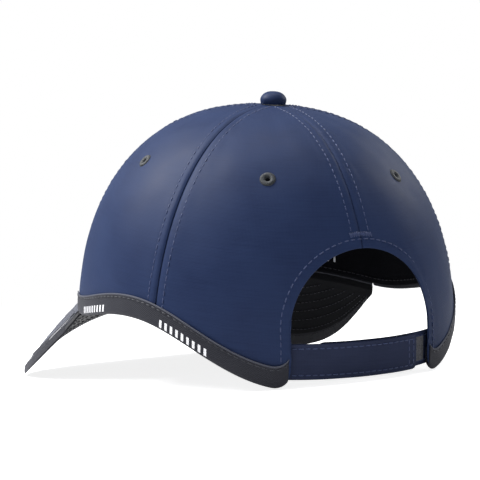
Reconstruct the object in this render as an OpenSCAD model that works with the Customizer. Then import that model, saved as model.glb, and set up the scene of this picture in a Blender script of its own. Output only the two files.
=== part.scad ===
// Six-panel peaked cap with an arched back opening and a hook-and-loop strap.
// +Z up as the cap stands on a table, +Y towards the back, +X the wearer's left.
// The origin is the middle of the head opening. Millimetres and degrees.
// Azimuths run from the front, positive towards the wearer's left.

/* [Crown] */
// Length of the crown at the rim, outside
crown_len = 194; // [180:1:215]
// Width of the crown at the rim, outside
crown_wid = 174; // [160:1:192]
// Height of the crown above the rim's mean level
crown_h = 104; // [85:1:118]
// How late the crown turns in from upright
shoulder = 2.2; // [2:0.05:2.6]
// How full the crown is near its top
fullness = 2.35; // [2.2:0.05:2.8]
// How far the crown leans forward at mid height
front_lean = 1.5; // [0:0.5:6]
// Cloth thickness of the panels
cloth_t = 0.8; // [0.6:0.1:1.2]
// Nose-up tilt of the whole cap as it stands on its peak and back corners
rest_tilt = 15.2; // [8:0.1:18]

/* [Rim] */
// Height of the rim at the middle of the front
rim_front = 6; // [2:0.5:10]
// Height of the rim at the peak's ends
rim_root = 5; // [0:0.5:9]
// Height of the rim at the sides
rim_side = 19; // [12:0.5:22]
// Height of the rim at the back corners
rim_corner = 0; // [-3:0.5:3]
// Rounding of the rim's back corners
corner_r = 7; // [3:0.5:10]
// Height of the binding on the rim
binding_h = 8.5; // [6:0.5:12]
// Thickness of the binding
binding_t = 0.6; // [0.4:0.1:1]

/* [Back opening] */
// Width of the opening
opening_w = 65; // [56:1:74]
// Height of the opening's upright sides above the rim's mean level
opening_side = 21.5; // [18:1:26]
// Height of the arch over the upright sides
opening_arch = 32.5; // [24:1:36]
// Width of the facing sewn inside the opening
facing_w = 10; // [6:1:14]

/* [Strap] */
// Width of both straps
strap_w = 14.5; // [12:0.5:18]
// Thickness of both straps
strap_t = 1.2; // [0.8:0.1:1.6]
// Height of the straps' lower edge above the rim's mean level
strap_z = 3.5; // [3:0.5:8]
// Distance of the outer strap's free end from the middle
outer_reach = 25; // [20:1:28]
// Distance of the inner strap's free end from the middle
inner_reach = 20; // [14:1:24]
// Thickness of the hook patch and of the loop patch
patch_t = 0.5; // [0.3:0.1:0.6]
// Play between hooks and loops
patch_play = 0.4; // [0.3:0.1:0.6]

/* [Sweatband] */
// Height of the sweatband
sweat_h = 30; // [24:1:36]
// Thickness of the sweatband
sweat_t = 1.8; // [1.2:0.1:2.4]

/* [Peak] */
// Length of the peak in front of the crown
peak_len = 77; // [64:1:84]
// Width of the peak
peak_wid = 188; // [176:1:194]
// How square the peak's corners are
peak_square = 3; // [2.6:0.1:3.4]
// Azimuth of the peak's ends
peak_az = 71; // [64:1:75]
// Slope of the peak along its middle
peak_pitch = 28; // [16:1:32]
// Slope of the peak at its sides
peak_side_pitch = 46; // [30:1:48]
// Thickness of the peak board
board_t = 1.8; // [1.4:0.1:2.4]

/* [Eyelets and button] */
// Outside diameter of an eyelet
eyelet_d = 7.2; // [6:0.2:9]
// Bore of an eyelet
eyelet_bore = 1.8; // [1.4:0.1:2.4]
// Height of the eyelets as a share of the crown
eyelet_rise = 0.76; // [0.65:0.01:0.8]
// Diameter of the covered button
button_d = 12.4; // [10:0.2:15]
// Height of the covered button
button_h = 6; // [4:0.2:7]

/* [Badge and tapes] */
// Height of the side badge
badge_h = 21; // [14:1:26]
// Width of the side badge
badge_w = 30; // [20:1:40]
// Thickness of the side badge
badge_t = 1; // [0.6:0.1:1.4]
// Azimuth of the badge's middle
badge_az = -104; // [-108:1:-84]
// Width of the tape over each seam
seam_tape_w = 11; // [8:1:14]

/* [Hidden] */

$fn = 64;

half_len = crown_len / 2;
half_wid = crown_wid / 2;

// Gap between two layers that are sewn flat together
lay = 0.1;
// Where each inner layer starts, measured in from the crown's outer face
lining_in = cloth_t + lay;
lining_t = 0.5;
sweat_in = lining_in + lining_t + 0.3;
// Bare radius left in the middle of the top for the button's shank
top_hole_r = 2.2;
// Half of the gap between neighbouring panels, as an angle
seam_gap_az = 0.05;
// Seams and the azimuths where the rim's height is stated
side_seam_az = 60;
back_seam_az = 120;
side_az = 114;
corner_az = 180 - asin(opening_w / crown_wid);

function ease(a, a0, a1, h0, h1) = h0 + (h1 - h0) * (1 - cos(180 * (a - a0) / (a1 - a0))) / 2;

// Height of the cut edge at the back corners, which are rounded
function corner_lift(az) =
  let (edge = half_wid * sin(abs(az)) - opening_w / 2)
  let (g = corner_r - min(corner_r, max(edge, 0)))
  abs(az) < 90 ? 0 : corner_r - sqrt(max(0, pow(corner_r, 2) - pow(g, 2)));

// Height of the rim at an azimuth
function rim(az) =
  let (a = abs(az))
  (a < peak_az ? ease(a, 0, peak_az, rim_front, rim_root)
    : a < side_az ? ease(a, peak_az, side_az, rim_root, rim_side)
    : a < corner_az ? ease(a, side_az, corner_az, rim_side, rim_corner)
    : rim_corner) + corner_lift(a);

// Share of the rim's size that is left at a share w of the height
function girth(w) = w <= 0 ? 1 : pow(1 - pow(min(w, 1), shoulder), 1 / fullness);

// Share of the height at which the crown has shrunk to the share g
function rise_at(g) = pow(1 - pow(g, fullness), 1 / shoulder);

// Point of the crown's form at an azimuth and a share of the height, moved in by inset
function crown_at(az, w, inset) =
  let (lean = w > 0 ? 4 * front_lean * w * (1 - w) : 0)
  [
    (half_wid - inset) * girth(w) * sin(az),
    -(half_len - inset) * girth(w) * cos(az) - lean,
    (crown_h - inset) * w
  ];

function span(n) = [for (i = [0 : n]) i / n];

// A closed sheet between an outer and an inner grid of points
module skin(outer, inner) {
  rows = len(outer) - 1;
  cols = len(outer[0]) - 1;
  n = (rows + 1) * (cols + 1);
  function at(r, c) = r * (cols + 1) + c;
  points = concat([for (row = outer) each row], [for (row = inner) each row]);
  faces = concat(
    [for (r = [0 : rows - 1]) for (c = [0 : cols - 1]) each [
      [at(r, c), at(r + 1, c), at(r + 1, c + 1)],
      [at(r, c), at(r + 1, c + 1), at(r, c + 1)],
      [n + at(r, c), n + at(r + 1, c + 1), n + at(r + 1, c)],
      [n + at(r, c), n + at(r, c + 1), n + at(r + 1, c + 1)]
    ]],
    [for (c = [0 : cols - 1]) each [
      [at(0, c), at(0, c + 1), n + at(0, c + 1)],
      [at(0, c), n + at(0, c + 1), n + at(0, c)],
      [at(rows, c + 1), at(rows, c), n + at(rows, c)],
      [at(rows, c + 1), n + at(rows, c), n + at(rows, c + 1)]
    ]],
    [for (r = [0 : rows - 1]) each [
      [at(r + 1, 0), at(r, 0), n + at(r, 0)],
      [at(r + 1, 0), n + at(r, 0), n + at(r + 1, 0)],
      [at(r, cols), at(r + 1, cols), n + at(r + 1, cols)],
      [at(r, cols), n + at(r + 1, cols), n + at(r, cols)]
    ]]
  );
  polyhedron(points, faces, convexity = 6);
}

// A layer of the crown over a list of azimuths, between two heights given by functions of az
module crown_layer(azimuths, lows, high, inset, thick, rows) {
  function grid(d) = [for (s = span(rows)) [for (i = [0 : len(azimuths) - 1])
    let (w0 = lows[i] / crown_h)
    crown_at(azimuths[i], w0 + (high - w0) * sin(90 * s), d)]];
  skin(grid(inset), grid(inset + thick));
}

// The whole cap turned to how it stands
module standing() {
  rotate([-rest_tilt, 0, 0]) children();
}

// Azimuths of a back panel, closer together round the rounded corner
function back_azimuths(side) =
  let (first = back_seam_az + seam_gap_az)
  let (last = 180 - seam_gap_az)
  let (bend = [corner_az - 8, corner_az + 1])
  let (a = concat(
    [for (s = span(7)) first + (bend[0] - first) * s],
    [for (s = span(8)) if (s > 0) bend[0] + (bend[1] - bend[0]) * s],
    [for (s = span(5)) if (s > 0) bend[1] + (last - bend[1]) * s]))
  side > 0 ? a : [for (i = [len(a) - 1 : -1 : 0]) -a[i]];

function even_azimuths(from, to, n) = [for (s = span(n)) from + (to - from) * s];

panel_top = rise_at(top_hole_r / half_wid);
panel_rows = 20;

module panel_cloth(azimuths) {
  crown_layer(azimuths, [for (a = azimuths) rim(a)], panel_top, 0, cloth_t, panel_rows);
}

// Outline of the back opening seen from behind, grown by a margin
module opening_outline(grow, low) {
  half = opening_w / 2 + grow;
  arch = opening_arch + grow;
  polygon(concat(
    [[half, low], [half, opening_side]],
    [for (a = [6 : 6 : 174]) [half * cos(a), opening_side + arch * sin(a)]],
    [[-half, opening_side], [-half, low]]));
}

module opening_cutter(grow, low) {
  translate([0, half_len + 20, 0])
    rotate([90, 0, 0])
    linear_extrude(half_len) opening_outline(grow, low);
}

// Outward direction of the crown at an azimuth and a share of the height
function crown_normal(az, w) =
  let (d = 0.002)
  let (along = crown_at(az + 1, w, 0) - crown_at(az - 1, w, 0))
  let (up = crown_at(az, w + d, 0) - crown_at(az, w - d, 0))
  let (c = cross(along, up))
  c / norm(c);

// Puts a child that points along +Z onto the crown, pointing outwards
module on_crown(az, w) {
  n = crown_normal(az, w);
  translate(crown_at(az, w, 0))
    rotate([0, acos(n[2]), atan2(n[1], n[0])]) children();
}

eyelet_neck_r = eyelet_bore / 2 + 0.7;
eyelet_lip_t = 0.6;
eyelet_play = 0.3;

module eyelet_hole(az) {
  on_crown(az, eyelet_rise)
    translate([0, 0, -4]) cylinder(r = eyelet_neck_r + eyelet_play / 2, h = 8);
}

// A worked eyelet: a lip on each side of the cloth round one bore
module eyelet(az) {
  top = eyelet_lip_t + eyelet_play;
  low = -cloth_t - eyelet_play;
  standing() on_crown(az, eyelet_rise)
    rotate_extrude() polygon([
      [eyelet_bore / 2, top], [eyelet_d / 2 - 0.8, top], [eyelet_d / 2, eyelet_play + 0.15],
      [eyelet_d / 2, eyelet_play], [eyelet_neck_r, eyelet_play], [eyelet_neck_r, low],
      [eyelet_d / 2, low], [eyelet_d / 2, low - 0.15], [eyelet_d / 2 - 0.8, low - eyelet_lip_t],
      [eyelet_bore / 2, low - eyelet_lip_t]
    ]);
}

module plain_panel(from, to, eyelet_az) {
  standing() difference() {
    panel_cloth(even_azimuths(from + seam_gap_az, to - seam_gap_az, 16));
    eyelet_hole(eyelet_az);
  }
}

module back_panel(side) {
  standing() difference() {
    panel_cloth(back_azimuths(side));
    opening_cutter(0, -30);
    eyelet_hole(side * (back_seam_az + 180) / 2);
  }
}

module front_left_panel() {
  color("navy") plain_panel(0, side_seam_az, side_seam_az / 2);
}

module front_right_panel() {
  color("navy") plain_panel(-side_seam_az, 0, -side_seam_az / 2);
}

module side_left_panel() {
  color("navy") plain_panel(side_seam_az, back_seam_az, (side_seam_az + back_seam_az) / 2);
}

module side_right_panel() {
  color("navy") plain_panel(-back_seam_az, -side_seam_az, -(side_seam_az + back_seam_az) / 2);
}

module back_left_panel() {
  color("navy") back_panel(1);
}

module back_right_panel() {
  color("navy") back_panel(-1);
}

// Stiffener fused inside a front panel, between the seam tapes
module stiffener(side) {
  // Stays clear of the tapes where they are widest, near the top
  margin = asin((seam_tape_w / 2 + 3) / half_wid) + 2;
  top = 0.9;
  edges = [margin, side_seam_az - margin];
  az = side > 0 ? even_azimuths(edges[0], edges[1], 8) : even_azimuths(-edges[1], -edges[0], 8);
  lows = [for (a = az) rim(a) + binding_h + 2];
  standing() difference() {
    crown_layer(az, lows, top, lining_in, lining_t, 12);
    on_crown(side * side_seam_az / 2, eyelet_rise)
      translate([0, 0, -4]) cylinder(d = eyelet_d + 1, h = 8);
  }
}

module front_left_stiffener() {
  color("gainsboro") stiffener(1);
}

module front_right_stiffener() {
  color("gainsboro") stiffener(-1);
}

// Tape over a seam, inside the crown
module seam_tape(az, low) {
  rows = 16;
  high = rise_at((button_d / 2 + 2) / half_wid);
  half = seam_tape_w / 2;
  // Six tapes meet near the top, so each narrows to less than a sixth of the circle
  widest_az = 26;
  function grid(d) = [for (s = span(rows)) [for (e = [-1, 0, 1])
    let (w = low / crown_h + (high - low / crown_h) * sin(90 * s))
    crown_at(az + e * min(widest_az, half / (girth(w) * half_wid) * 180 / PI), w, d)]];
  standing() skin(grid(lining_in), grid(lining_in + lining_t));
}

seam_tape_low = max(rim_front, rim_side) + binding_h + 1;

module front_seam_tape() {
  color("dimgray") seam_tape(0, seam_tape_low);
}

module front_left_seam_tape() {
  color("dimgray") seam_tape(side_seam_az, seam_tape_low);
}

module front_right_seam_tape() {
  color("dimgray") seam_tape(-side_seam_az, seam_tape_low);
}

module back_left_seam_tape() {
  color("dimgray") seam_tape(back_seam_az, seam_tape_low);
}

module back_right_seam_tape() {
  color("dimgray") seam_tape(-back_seam_az, seam_tape_low);
}

module back_seam_tape() {
  color("dimgray") seam_tape(180, opening_side + opening_arch + facing_w + 1.5);
}

module front_left_eyelet() {
  color("dimgray") eyelet(side_seam_az / 2);
}

module front_right_eyelet() {
  color("dimgray") eyelet(-side_seam_az / 2);
}

module side_left_eyelet() {
  color("dimgray") eyelet((side_seam_az + back_seam_az) / 2);
}

module side_right_eyelet() {
  color("dimgray") eyelet(-(side_seam_az + back_seam_az) / 2);
}

module back_left_eyelet() {
  color("dimgray") eyelet((back_seam_az + 180) / 2);
}

module back_right_eyelet() {
  color("dimgray") eyelet(-(back_seam_az + 180) / 2);
}

// Facing sewn inside the back opening
module opening_facing() {
  low = rim_corner + binding_h + 1.5;
  // Blank cut larger than the facing on every side
  blank_az = 14;
  blank_top = 0.72;
  az = even_azimuths(corner_az - blank_az, 360 - corner_az + blank_az, 26);
  color("midnightblue") standing() difference() {
    intersection() {
      crown_layer(az, [for (a = az) low], blank_top, lining_in, lining_t, 10);
      opening_cutter(facing_w, low);
    }
    opening_cutter(0, -30);
  }
}

// Sweatband round the head, open at the back
module sweatband() {
  last = 180 - asin((opening_w / 2 + facing_w + 1) / half_wid);
  az = even_azimuths(-last, last, 60);
  above_rim = 1.5;
  function grid(d) = [for (s = span(3)) [for (a = az)
    crown_at(a, (rim(a) + above_rim + sweat_h * s) / crown_h, d)]];
  color("black") standing() skin(grid(sweat_in), grid(sweat_in + sweat_t));
}

// Folded binding on the rim from the peak's end to the back corner
module rim_binding(side) {
  from = peak_az + 0.6;
  to = corner_az - asin(1.3 / half_wid);
  // Closer steps over the last degrees, where the corner is rounded
  bend_az = corner_az - 8;
  steps = concat(
    [for (s = span(20)) from + (bend_az - from) * s],
    [for (s = span(6)) if (s > 0) bend_az + (to - bend_az) * s]);
  az = side > 0 ? steps : [for (i = [len(steps) - 1 : -1 : 0]) -steps[i]];
  // Room between the cut edge and the fold
  fold = 0.35;
  // Outer leg, fold and inner leg: inset and height above the rim
  outside = [
    [-lay - binding_t, binding_h], [-lay - binding_t, -fold],
    [cloth_t / 2, -fold - binding_t],
    [lining_in + lining_t, -fold], [lining_in + lining_t, binding_h - 1]
  ];
  inside = [
    [-lay, binding_h], [-lay, -fold + lay], [cloth_t / 2, -fold],
    [lining_in, -fold + lay], [lining_in, binding_h - 1]
  ];
  function grid(profile) = [for (i = [4 : -1 : 0]) [for (a = az)
    crown_at(a, (rim(a) + profile[4 - i][1]) / crown_h, profile[4 - i][0])]];
  standing() skin([for (i = [4 : -1 : 0]) grid(outside)[i]], [for (i = [4 : -1 : 0]) grid(inside)[i]]);
}

module rim_binding_left() {
  color("dimgray") rim_binding(1);
}

module rim_binding_right() {
  color("dimgray") rim_binding(-1);
}

// Covered button: cloth over a pressed cup, with its shank through the top
button_z = crown_h + 0.15;
button_side_h = button_h * 0.55;
cup_t = 0.6;
shank_r = top_hole_r - 0.6;
// How far the shank reaches below the button, through cloth and backplate
shank_drop = cloth_t + 1.2;

module button_cover() {
  r = button_d / 2;
  dome_r = r * 1.7;
  color("darkslateblue") standing() translate([0, 0, button_z])
    rotate_extrude() difference() {
      union() {
        square([r, button_side_h]);
        intersection() {
          translate([0, button_h - dome_r]) circle(r = dome_r);
          translate([0, button_side_h - 0.3]) square([r, button_h]);
        }
      }
      translate([-1, -1]) square([r - cloth_t + 1, button_side_h + 1]);
      translate([-r, -1]) square([r, button_h + 2]);
    }
}

module button_cup() {
  r = button_d / 2 - cloth_t - lay;
  h = button_side_h - lay;
  color("silver") standing() translate([0, 0, button_z]) {
    difference() {
      cylinder(r = r, h = h);
      translate([0, 0, -1]) cylinder(r = r - cup_t, h = h - cup_t + 1);
    }
    translate([0, 0, -shank_drop]) cylinder(r = shank_r, h = h + shank_drop);
  }
}

module button_backplate() {
  plate_t = 0.7;
  low = crown_h - cloth_t - plate_t - 0.3;
  color("silver") standing() difference() {
    translate([0, 0, low]) cylinder(r = button_d / 2 - 0.5, h = plate_t);
    translate([0, 0, low - 1]) cylinder(r = shank_r + lay, h = plate_t + 2);
  }
}

// Peak: each piece is a layer of one ruled form from the rim out to the peak's edge
root_in = cloth_t + 0.1;
// Width left of the peak at its very ends
peak_end = 1.6;
// How late the outline draws in
peak_draw = 10;
peak_front = half_len + peak_len;
peak_back = half_len * cos(peak_az) + 2;

function root_at(az) = [(half_wid - root_in) * sin(az), -(half_len - root_in) * cos(az)];

// Outline of the peak, which draws in to the rim at its ends
function edge_at(az) =
  let (phi = 90 * az / peak_az)
  let (e = 2 / peak_square)
  let (end_x = root_at(peak_az)[0] + peak_end)
  let (draw = pow(abs(phi) / 90, peak_draw))
  [
    sign(phi) * (peak_wid / 2 * pow(abs(sin(phi)), e) * (1 - draw) + end_x * draw),
    -peak_back - (peak_front - peak_back) * pow(cos(phi), e)
  ];

function reach_at(az) = norm(edge_at(az) - root_at(az));

// Point of the peak's top at an azimuth, out along the ruling by a distance
function peak_at(az, out, drop) =
  let (run = reach_at(az))
  let (p = root_at(az) + (edge_at(az) - root_at(az)) * out / run)
  let (side = pow(p[0] / (peak_wid / 2), 2))
  let (slope = tan(peak_pitch) * (1 - side) + tan(peak_side_pitch) * side)
  [p[0], p[1], rim(az) - lay - out * slope - drop];

// Rulings of the peak, closer together towards its ends
peak_az_list = [for (s = span(40)) let (t = 2 * s - 1) peak_az * (t + sin(90 * t)) / 2];
cover_t = 0.8;
board_drop = cover_t + lay;
under_drop = board_drop + board_t + lay;
peak_t = under_drop + cover_t;

module peak_layer(drop, thick, margin, rows) {
  function grid(d) = [for (s = span(rows)) [for (a = peak_az_list)
    peak_at(a, (reach_at(a) - margin) * (1 - s), d)]];
  standing() skin(grid(drop), grid(drop + thick));
}

module peak_board() {
  color("white") peak_layer(board_drop, board_t, 1, 10);
}

module peak_top_cover() {
  color("gray") peak_layer(0, cover_t, 0, 10);
}

module peak_under_cover() {
  color("gray") peak_layer(under_drop, cover_t, 0, 10);
}

module peak_edge_binding() {
  // Room between the binding and the covers it folds over, and the bow of the fold
  fold = 0.25;
  bow = 0.3;
  t = binding_t;
  az = [for (i = [1 : len(peak_az_list) - 2]) peak_az_list[i]];
  // Leg on top, fold round the edge, leg below: distance past the edge and drop
  function leg(a) = min(binding_h, 0.8 * reach_at(a));
  function outside(a) = [
    [-leg(a), -fold - t], [fold + t / 2, -fold - t], [fold + t + bow, peak_t / 2],
    [fold + t / 2, peak_t + fold + t], [-leg(a), peak_t + fold + t]
  ];
  function inside(a) = [
    [-leg(a), -fold], [fold, -fold], [fold + bow, peak_t / 2],
    [fold, peak_t + fold], [-leg(a), peak_t + fold]
  ];
  outer = [for (i = [0 : 4]) [for (a = az)
    let (q = outside(a)[i]) peak_at(a, reach_at(a) + q[0], q[1])]];
  inner = [for (i = [0 : 4]) [for (a = az)
    let (q = inside(a)[i]) peak_at(a, reach_at(a) + q[0], q[1])]];
  color("dimgray") standing()
    skin([for (i = [4 : -1 : 0]) outer[i]], [for (i = [4 : -1 : 0]) inner[i]]);
}

// Plain badge on the wearer's right side
module side_badge() {
  half = badge_w / 2 / half_wid * 180 / PI;
  above_binding = 3;
  low = rim(badge_az) + binding_h + above_binding;
  az = even_azimuths(badge_az - half, badge_az + half, 10);
  function grid(d) = [for (s = span(6)) [for (a = az)
    crown_at(a, (low + badge_h * s) / crown_h, d)]];
  color("black") standing() skin(grid(-lay - badge_t), grid(-lay));
}

// Straps: upright bands on two circles with one centre
hinge_in = 4.4;
hinge_x = opening_w / 2 - hinge_in;
patch_lay = 0.05;
patch_r = strap_t / 2 + patch_lay + patch_t / 2;
strap_gap = strap_t + 2 * (patch_t + patch_lay) + patch_play;
// The bands lean forward as the crown's back does
function back_y(z) = crown_at(180, z / crown_h, 0)[1];
strap_lean = atan((back_y(strap_z) - back_y(strap_z + strap_w)) / strap_w);
strap_mid_y = back_y(strap_z) - 1.6;
// How far out each tab's end lies; there the bands dip this much more than the crown's back
tab_end_x = opening_w / 2 + 7;
tab_dip = 2;
band_x = -strap_gap * 1.1;
crown_dip = half_len * (1 - sqrt(1 - pow(tab_end_x / half_wid, 2)));
band_dip = crown_dip + tab_dip;
outer_band_r = (pow(tab_end_x - band_x, 2) + pow(band_dip, 2)) / (2 * band_dip);
inner_band_r = outer_band_r - strap_gap;
band_y = strap_mid_y - outer_band_r;

strap_round = 2.5;
// Patches stop short of the straps' edges; the hooks end this far past the middle
patch_margin = 2;
patch_round = 1;
hook_end_x = 4;

module leaning() {
  translate([0, strap_mid_y, strap_z]) rotate([strap_lean, 0, 0])
    translate([0, -strap_mid_y, -strap_z]) children();
}

// An upright band between two x positions, trimmed to a width and rounded at its ends
module band(r, thick, x0, x1, margin, round) {
  standing() leaning() intersection() {
    translate([band_x, band_y, -20]) difference() {
      cylinder(r = r + thick / 2, h = 60, $fn = 180);
      translate([0, 0, -1]) cylinder(r = r - thick / 2, h = 62, $fn = 180);
    }
    translate([0, half_len + 20, 0]) rotate([90, 0, 0]) linear_extrude(half_len)
      translate([0, strap_z + margin]) strap_outline(x0, x1, strap_w - 2 * margin, round);
  }
}

module strap_outline(x0, x1, h, round) {
  if (round > 0) {
    difference() {
      translate([x0, 0]) square([x1 - x0, h]);
      for (m = [0, 1]) translate([x0, m * h]) mirror([0, m]) corner_waste(round);
      for (m = [0, 1]) translate([x1, m * h]) mirror([1, 0]) mirror([0, m]) corner_waste(round);
    }
  } else {
    translate([x0, 0]) square([x1 - x0, h]);
  }
}

module corner_waste(r) {
  difference() {
    translate([-1, -1]) square(r + 1);
    translate([r, r]) circle(r);
  }
}

// Where a tab starts, with its gap from its strap
tab_start_x = hinge_x + strap_t / 2 + 0.6;

module outer_strap_tab() {
  color("midnightblue") band(outer_band_r, strap_t, tab_start_x, tab_end_x, 0, 0);
}

module inner_strap_tab() {
  color("midnightblue") band(inner_band_r, strap_t, -tab_end_x, -tab_start_x, 0, 0);
}

module outer_strap() {
  color("midnightblue") band(outer_band_r, strap_t, -outer_reach, hinge_x, 0, strap_round);
}

module hook_patch() {
  start_x = patch_margin - outer_reach;
  color("dimgray") band(outer_band_r - patch_r, patch_t, start_x, hook_end_x, patch_margin, patch_round);
}

module inner_strap() {
  color("midnightblue") band(inner_band_r, strap_t, -hinge_x, inner_reach, 0, strap_round);
}

module loop_patch() {
  end_x = inner_reach - patch_margin;
  color("gray") band(inner_band_r + patch_r, patch_t, -hinge_x + 1, end_x, patch_margin, patch_round);
}

front_left_panel();
front_right_panel();
side_left_panel();
side_right_panel();
back_left_panel();
back_right_panel();
front_left_stiffener();
front_right_stiffener();
front_seam_tape();
front_left_seam_tape();
front_right_seam_tape();
back_left_seam_tape();
back_right_seam_tape();
back_seam_tape();
front_left_eyelet();
front_right_eyelet();
side_left_eyelet();
side_right_eyelet();
back_left_eyelet();
back_right_eyelet();
opening_facing();
sweatband();
rim_binding_left();
rim_binding_right();
button_cover();
button_cup();
button_backplate();
peak_board();
peak_top_cover();
peak_under_cover();
peak_edge_binding();
side_badge();
outer_strap_tab();
inner_strap_tab();
outer_strap();
hook_patch();
inner_strap();
loop_patch();
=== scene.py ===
"""Looks of a six-panel peaked cap: cloth, stitching, tapes, peak, strap, light and camera."""

import logging
import math
from dataclasses import dataclass, field
from enum import Enum

import bpy
import numpy as np
from mathutils import Matrix, Vector


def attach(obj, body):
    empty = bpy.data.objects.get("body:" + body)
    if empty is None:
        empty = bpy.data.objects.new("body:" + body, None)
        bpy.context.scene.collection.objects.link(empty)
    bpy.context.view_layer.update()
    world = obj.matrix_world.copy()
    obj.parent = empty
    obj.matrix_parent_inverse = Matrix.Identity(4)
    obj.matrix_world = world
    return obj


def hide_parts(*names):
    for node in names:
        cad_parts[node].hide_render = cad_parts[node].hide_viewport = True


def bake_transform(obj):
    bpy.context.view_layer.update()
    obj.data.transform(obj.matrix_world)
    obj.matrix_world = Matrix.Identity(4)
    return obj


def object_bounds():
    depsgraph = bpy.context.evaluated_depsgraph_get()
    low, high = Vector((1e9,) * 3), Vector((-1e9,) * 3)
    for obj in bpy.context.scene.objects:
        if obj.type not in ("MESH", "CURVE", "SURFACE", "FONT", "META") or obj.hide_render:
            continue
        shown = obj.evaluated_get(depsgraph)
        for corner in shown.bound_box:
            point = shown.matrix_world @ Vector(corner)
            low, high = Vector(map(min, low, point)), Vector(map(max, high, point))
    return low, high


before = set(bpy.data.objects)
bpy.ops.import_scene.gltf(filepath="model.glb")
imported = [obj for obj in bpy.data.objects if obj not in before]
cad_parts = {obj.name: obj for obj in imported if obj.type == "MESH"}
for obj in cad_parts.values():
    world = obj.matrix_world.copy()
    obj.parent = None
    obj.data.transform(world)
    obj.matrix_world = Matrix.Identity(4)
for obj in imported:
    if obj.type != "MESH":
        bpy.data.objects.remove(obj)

CAD_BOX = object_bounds()
LOG = logging.getLogger("cap")
MM = 0.001
CLOTH_MAP = "cloth"
Array = np.ndarray


class Side(Enum):
    """The wearer's two sides, as the sign of X."""

    LEFT = 1
    RIGHT = -1

    @property
    def word(self) -> str:
        """The side's name in node names."""
        return self.name.lower()


class Facing(Enum):
    """Which way a thickness grows from the sheet that it is given to."""

    INWARD = -1.0
    BOTH = 0.0
    OUTWARD = 1.0


# ---------------------------------------------------------------- form


def smooth_step(low: float, high: float, value: Array) -> Array:
    """Returns 0 below low, 1 above high and an S-curve between.

    Args:
        low: Value where the step starts.
        high: Value where the step ends.
        value: Values to pass through the step.

    Returns:
        The stepped values, from 0 to 1.
    """
    share = np.clip((np.asarray(value, float) - low) / (high - low), 0.0, 1.0)
    return share * share * (3 - 2 * share)


def bell(value: Array, middle: float, width: float) -> Array:
    """Returns a bell curve of height 1.

    Args:
        value: Values to pass through the curve.
        middle: Value of the peak.
        width: Distance from the peak at which a third is left.

    Returns:
        The curve's heights.
    """
    return np.exp(-(((np.asarray(value, float) - middle) / width) ** 2))


def ripple(across: Array, along: Array, length: float, phase: float) -> Array:
    """Returns a slow uneven wave, the same in every run.

    Args:
        across: Distances across the cloth, in millimetres.
        along: Distances along the cloth, in millimetres.
        length: Wavelength in millimetres.
        phase: Number that picks one wave out of many.

    Returns:
        Heights between about -1 and 1.
    """
    k = 2 * math.pi / length
    one = np.sin(k * (across + 0.37 * along) + 1.7 * phase)
    two = np.sin(k * (0.83 * along - 0.29 * across) * 1.31 + 2.9 * phase)
    three = np.sin(k * (0.61 * across + 0.74 * along) * 0.57 + 4.3 * phase)
    return (one + two + three) / 3


def easing(count: int) -> Array:
    """Returns shares from 0 to 1 that lie closer together towards 1."""
    return np.sin(np.linspace(0, 1, count) * math.pi / 2)


def running_length(points: Array) -> Array:
    """Returns the length of a line up to each of its points."""
    return np.concatenate([[0], np.cumsum(np.linalg.norm(np.diff(points, axis=0), axis=1))])


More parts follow.
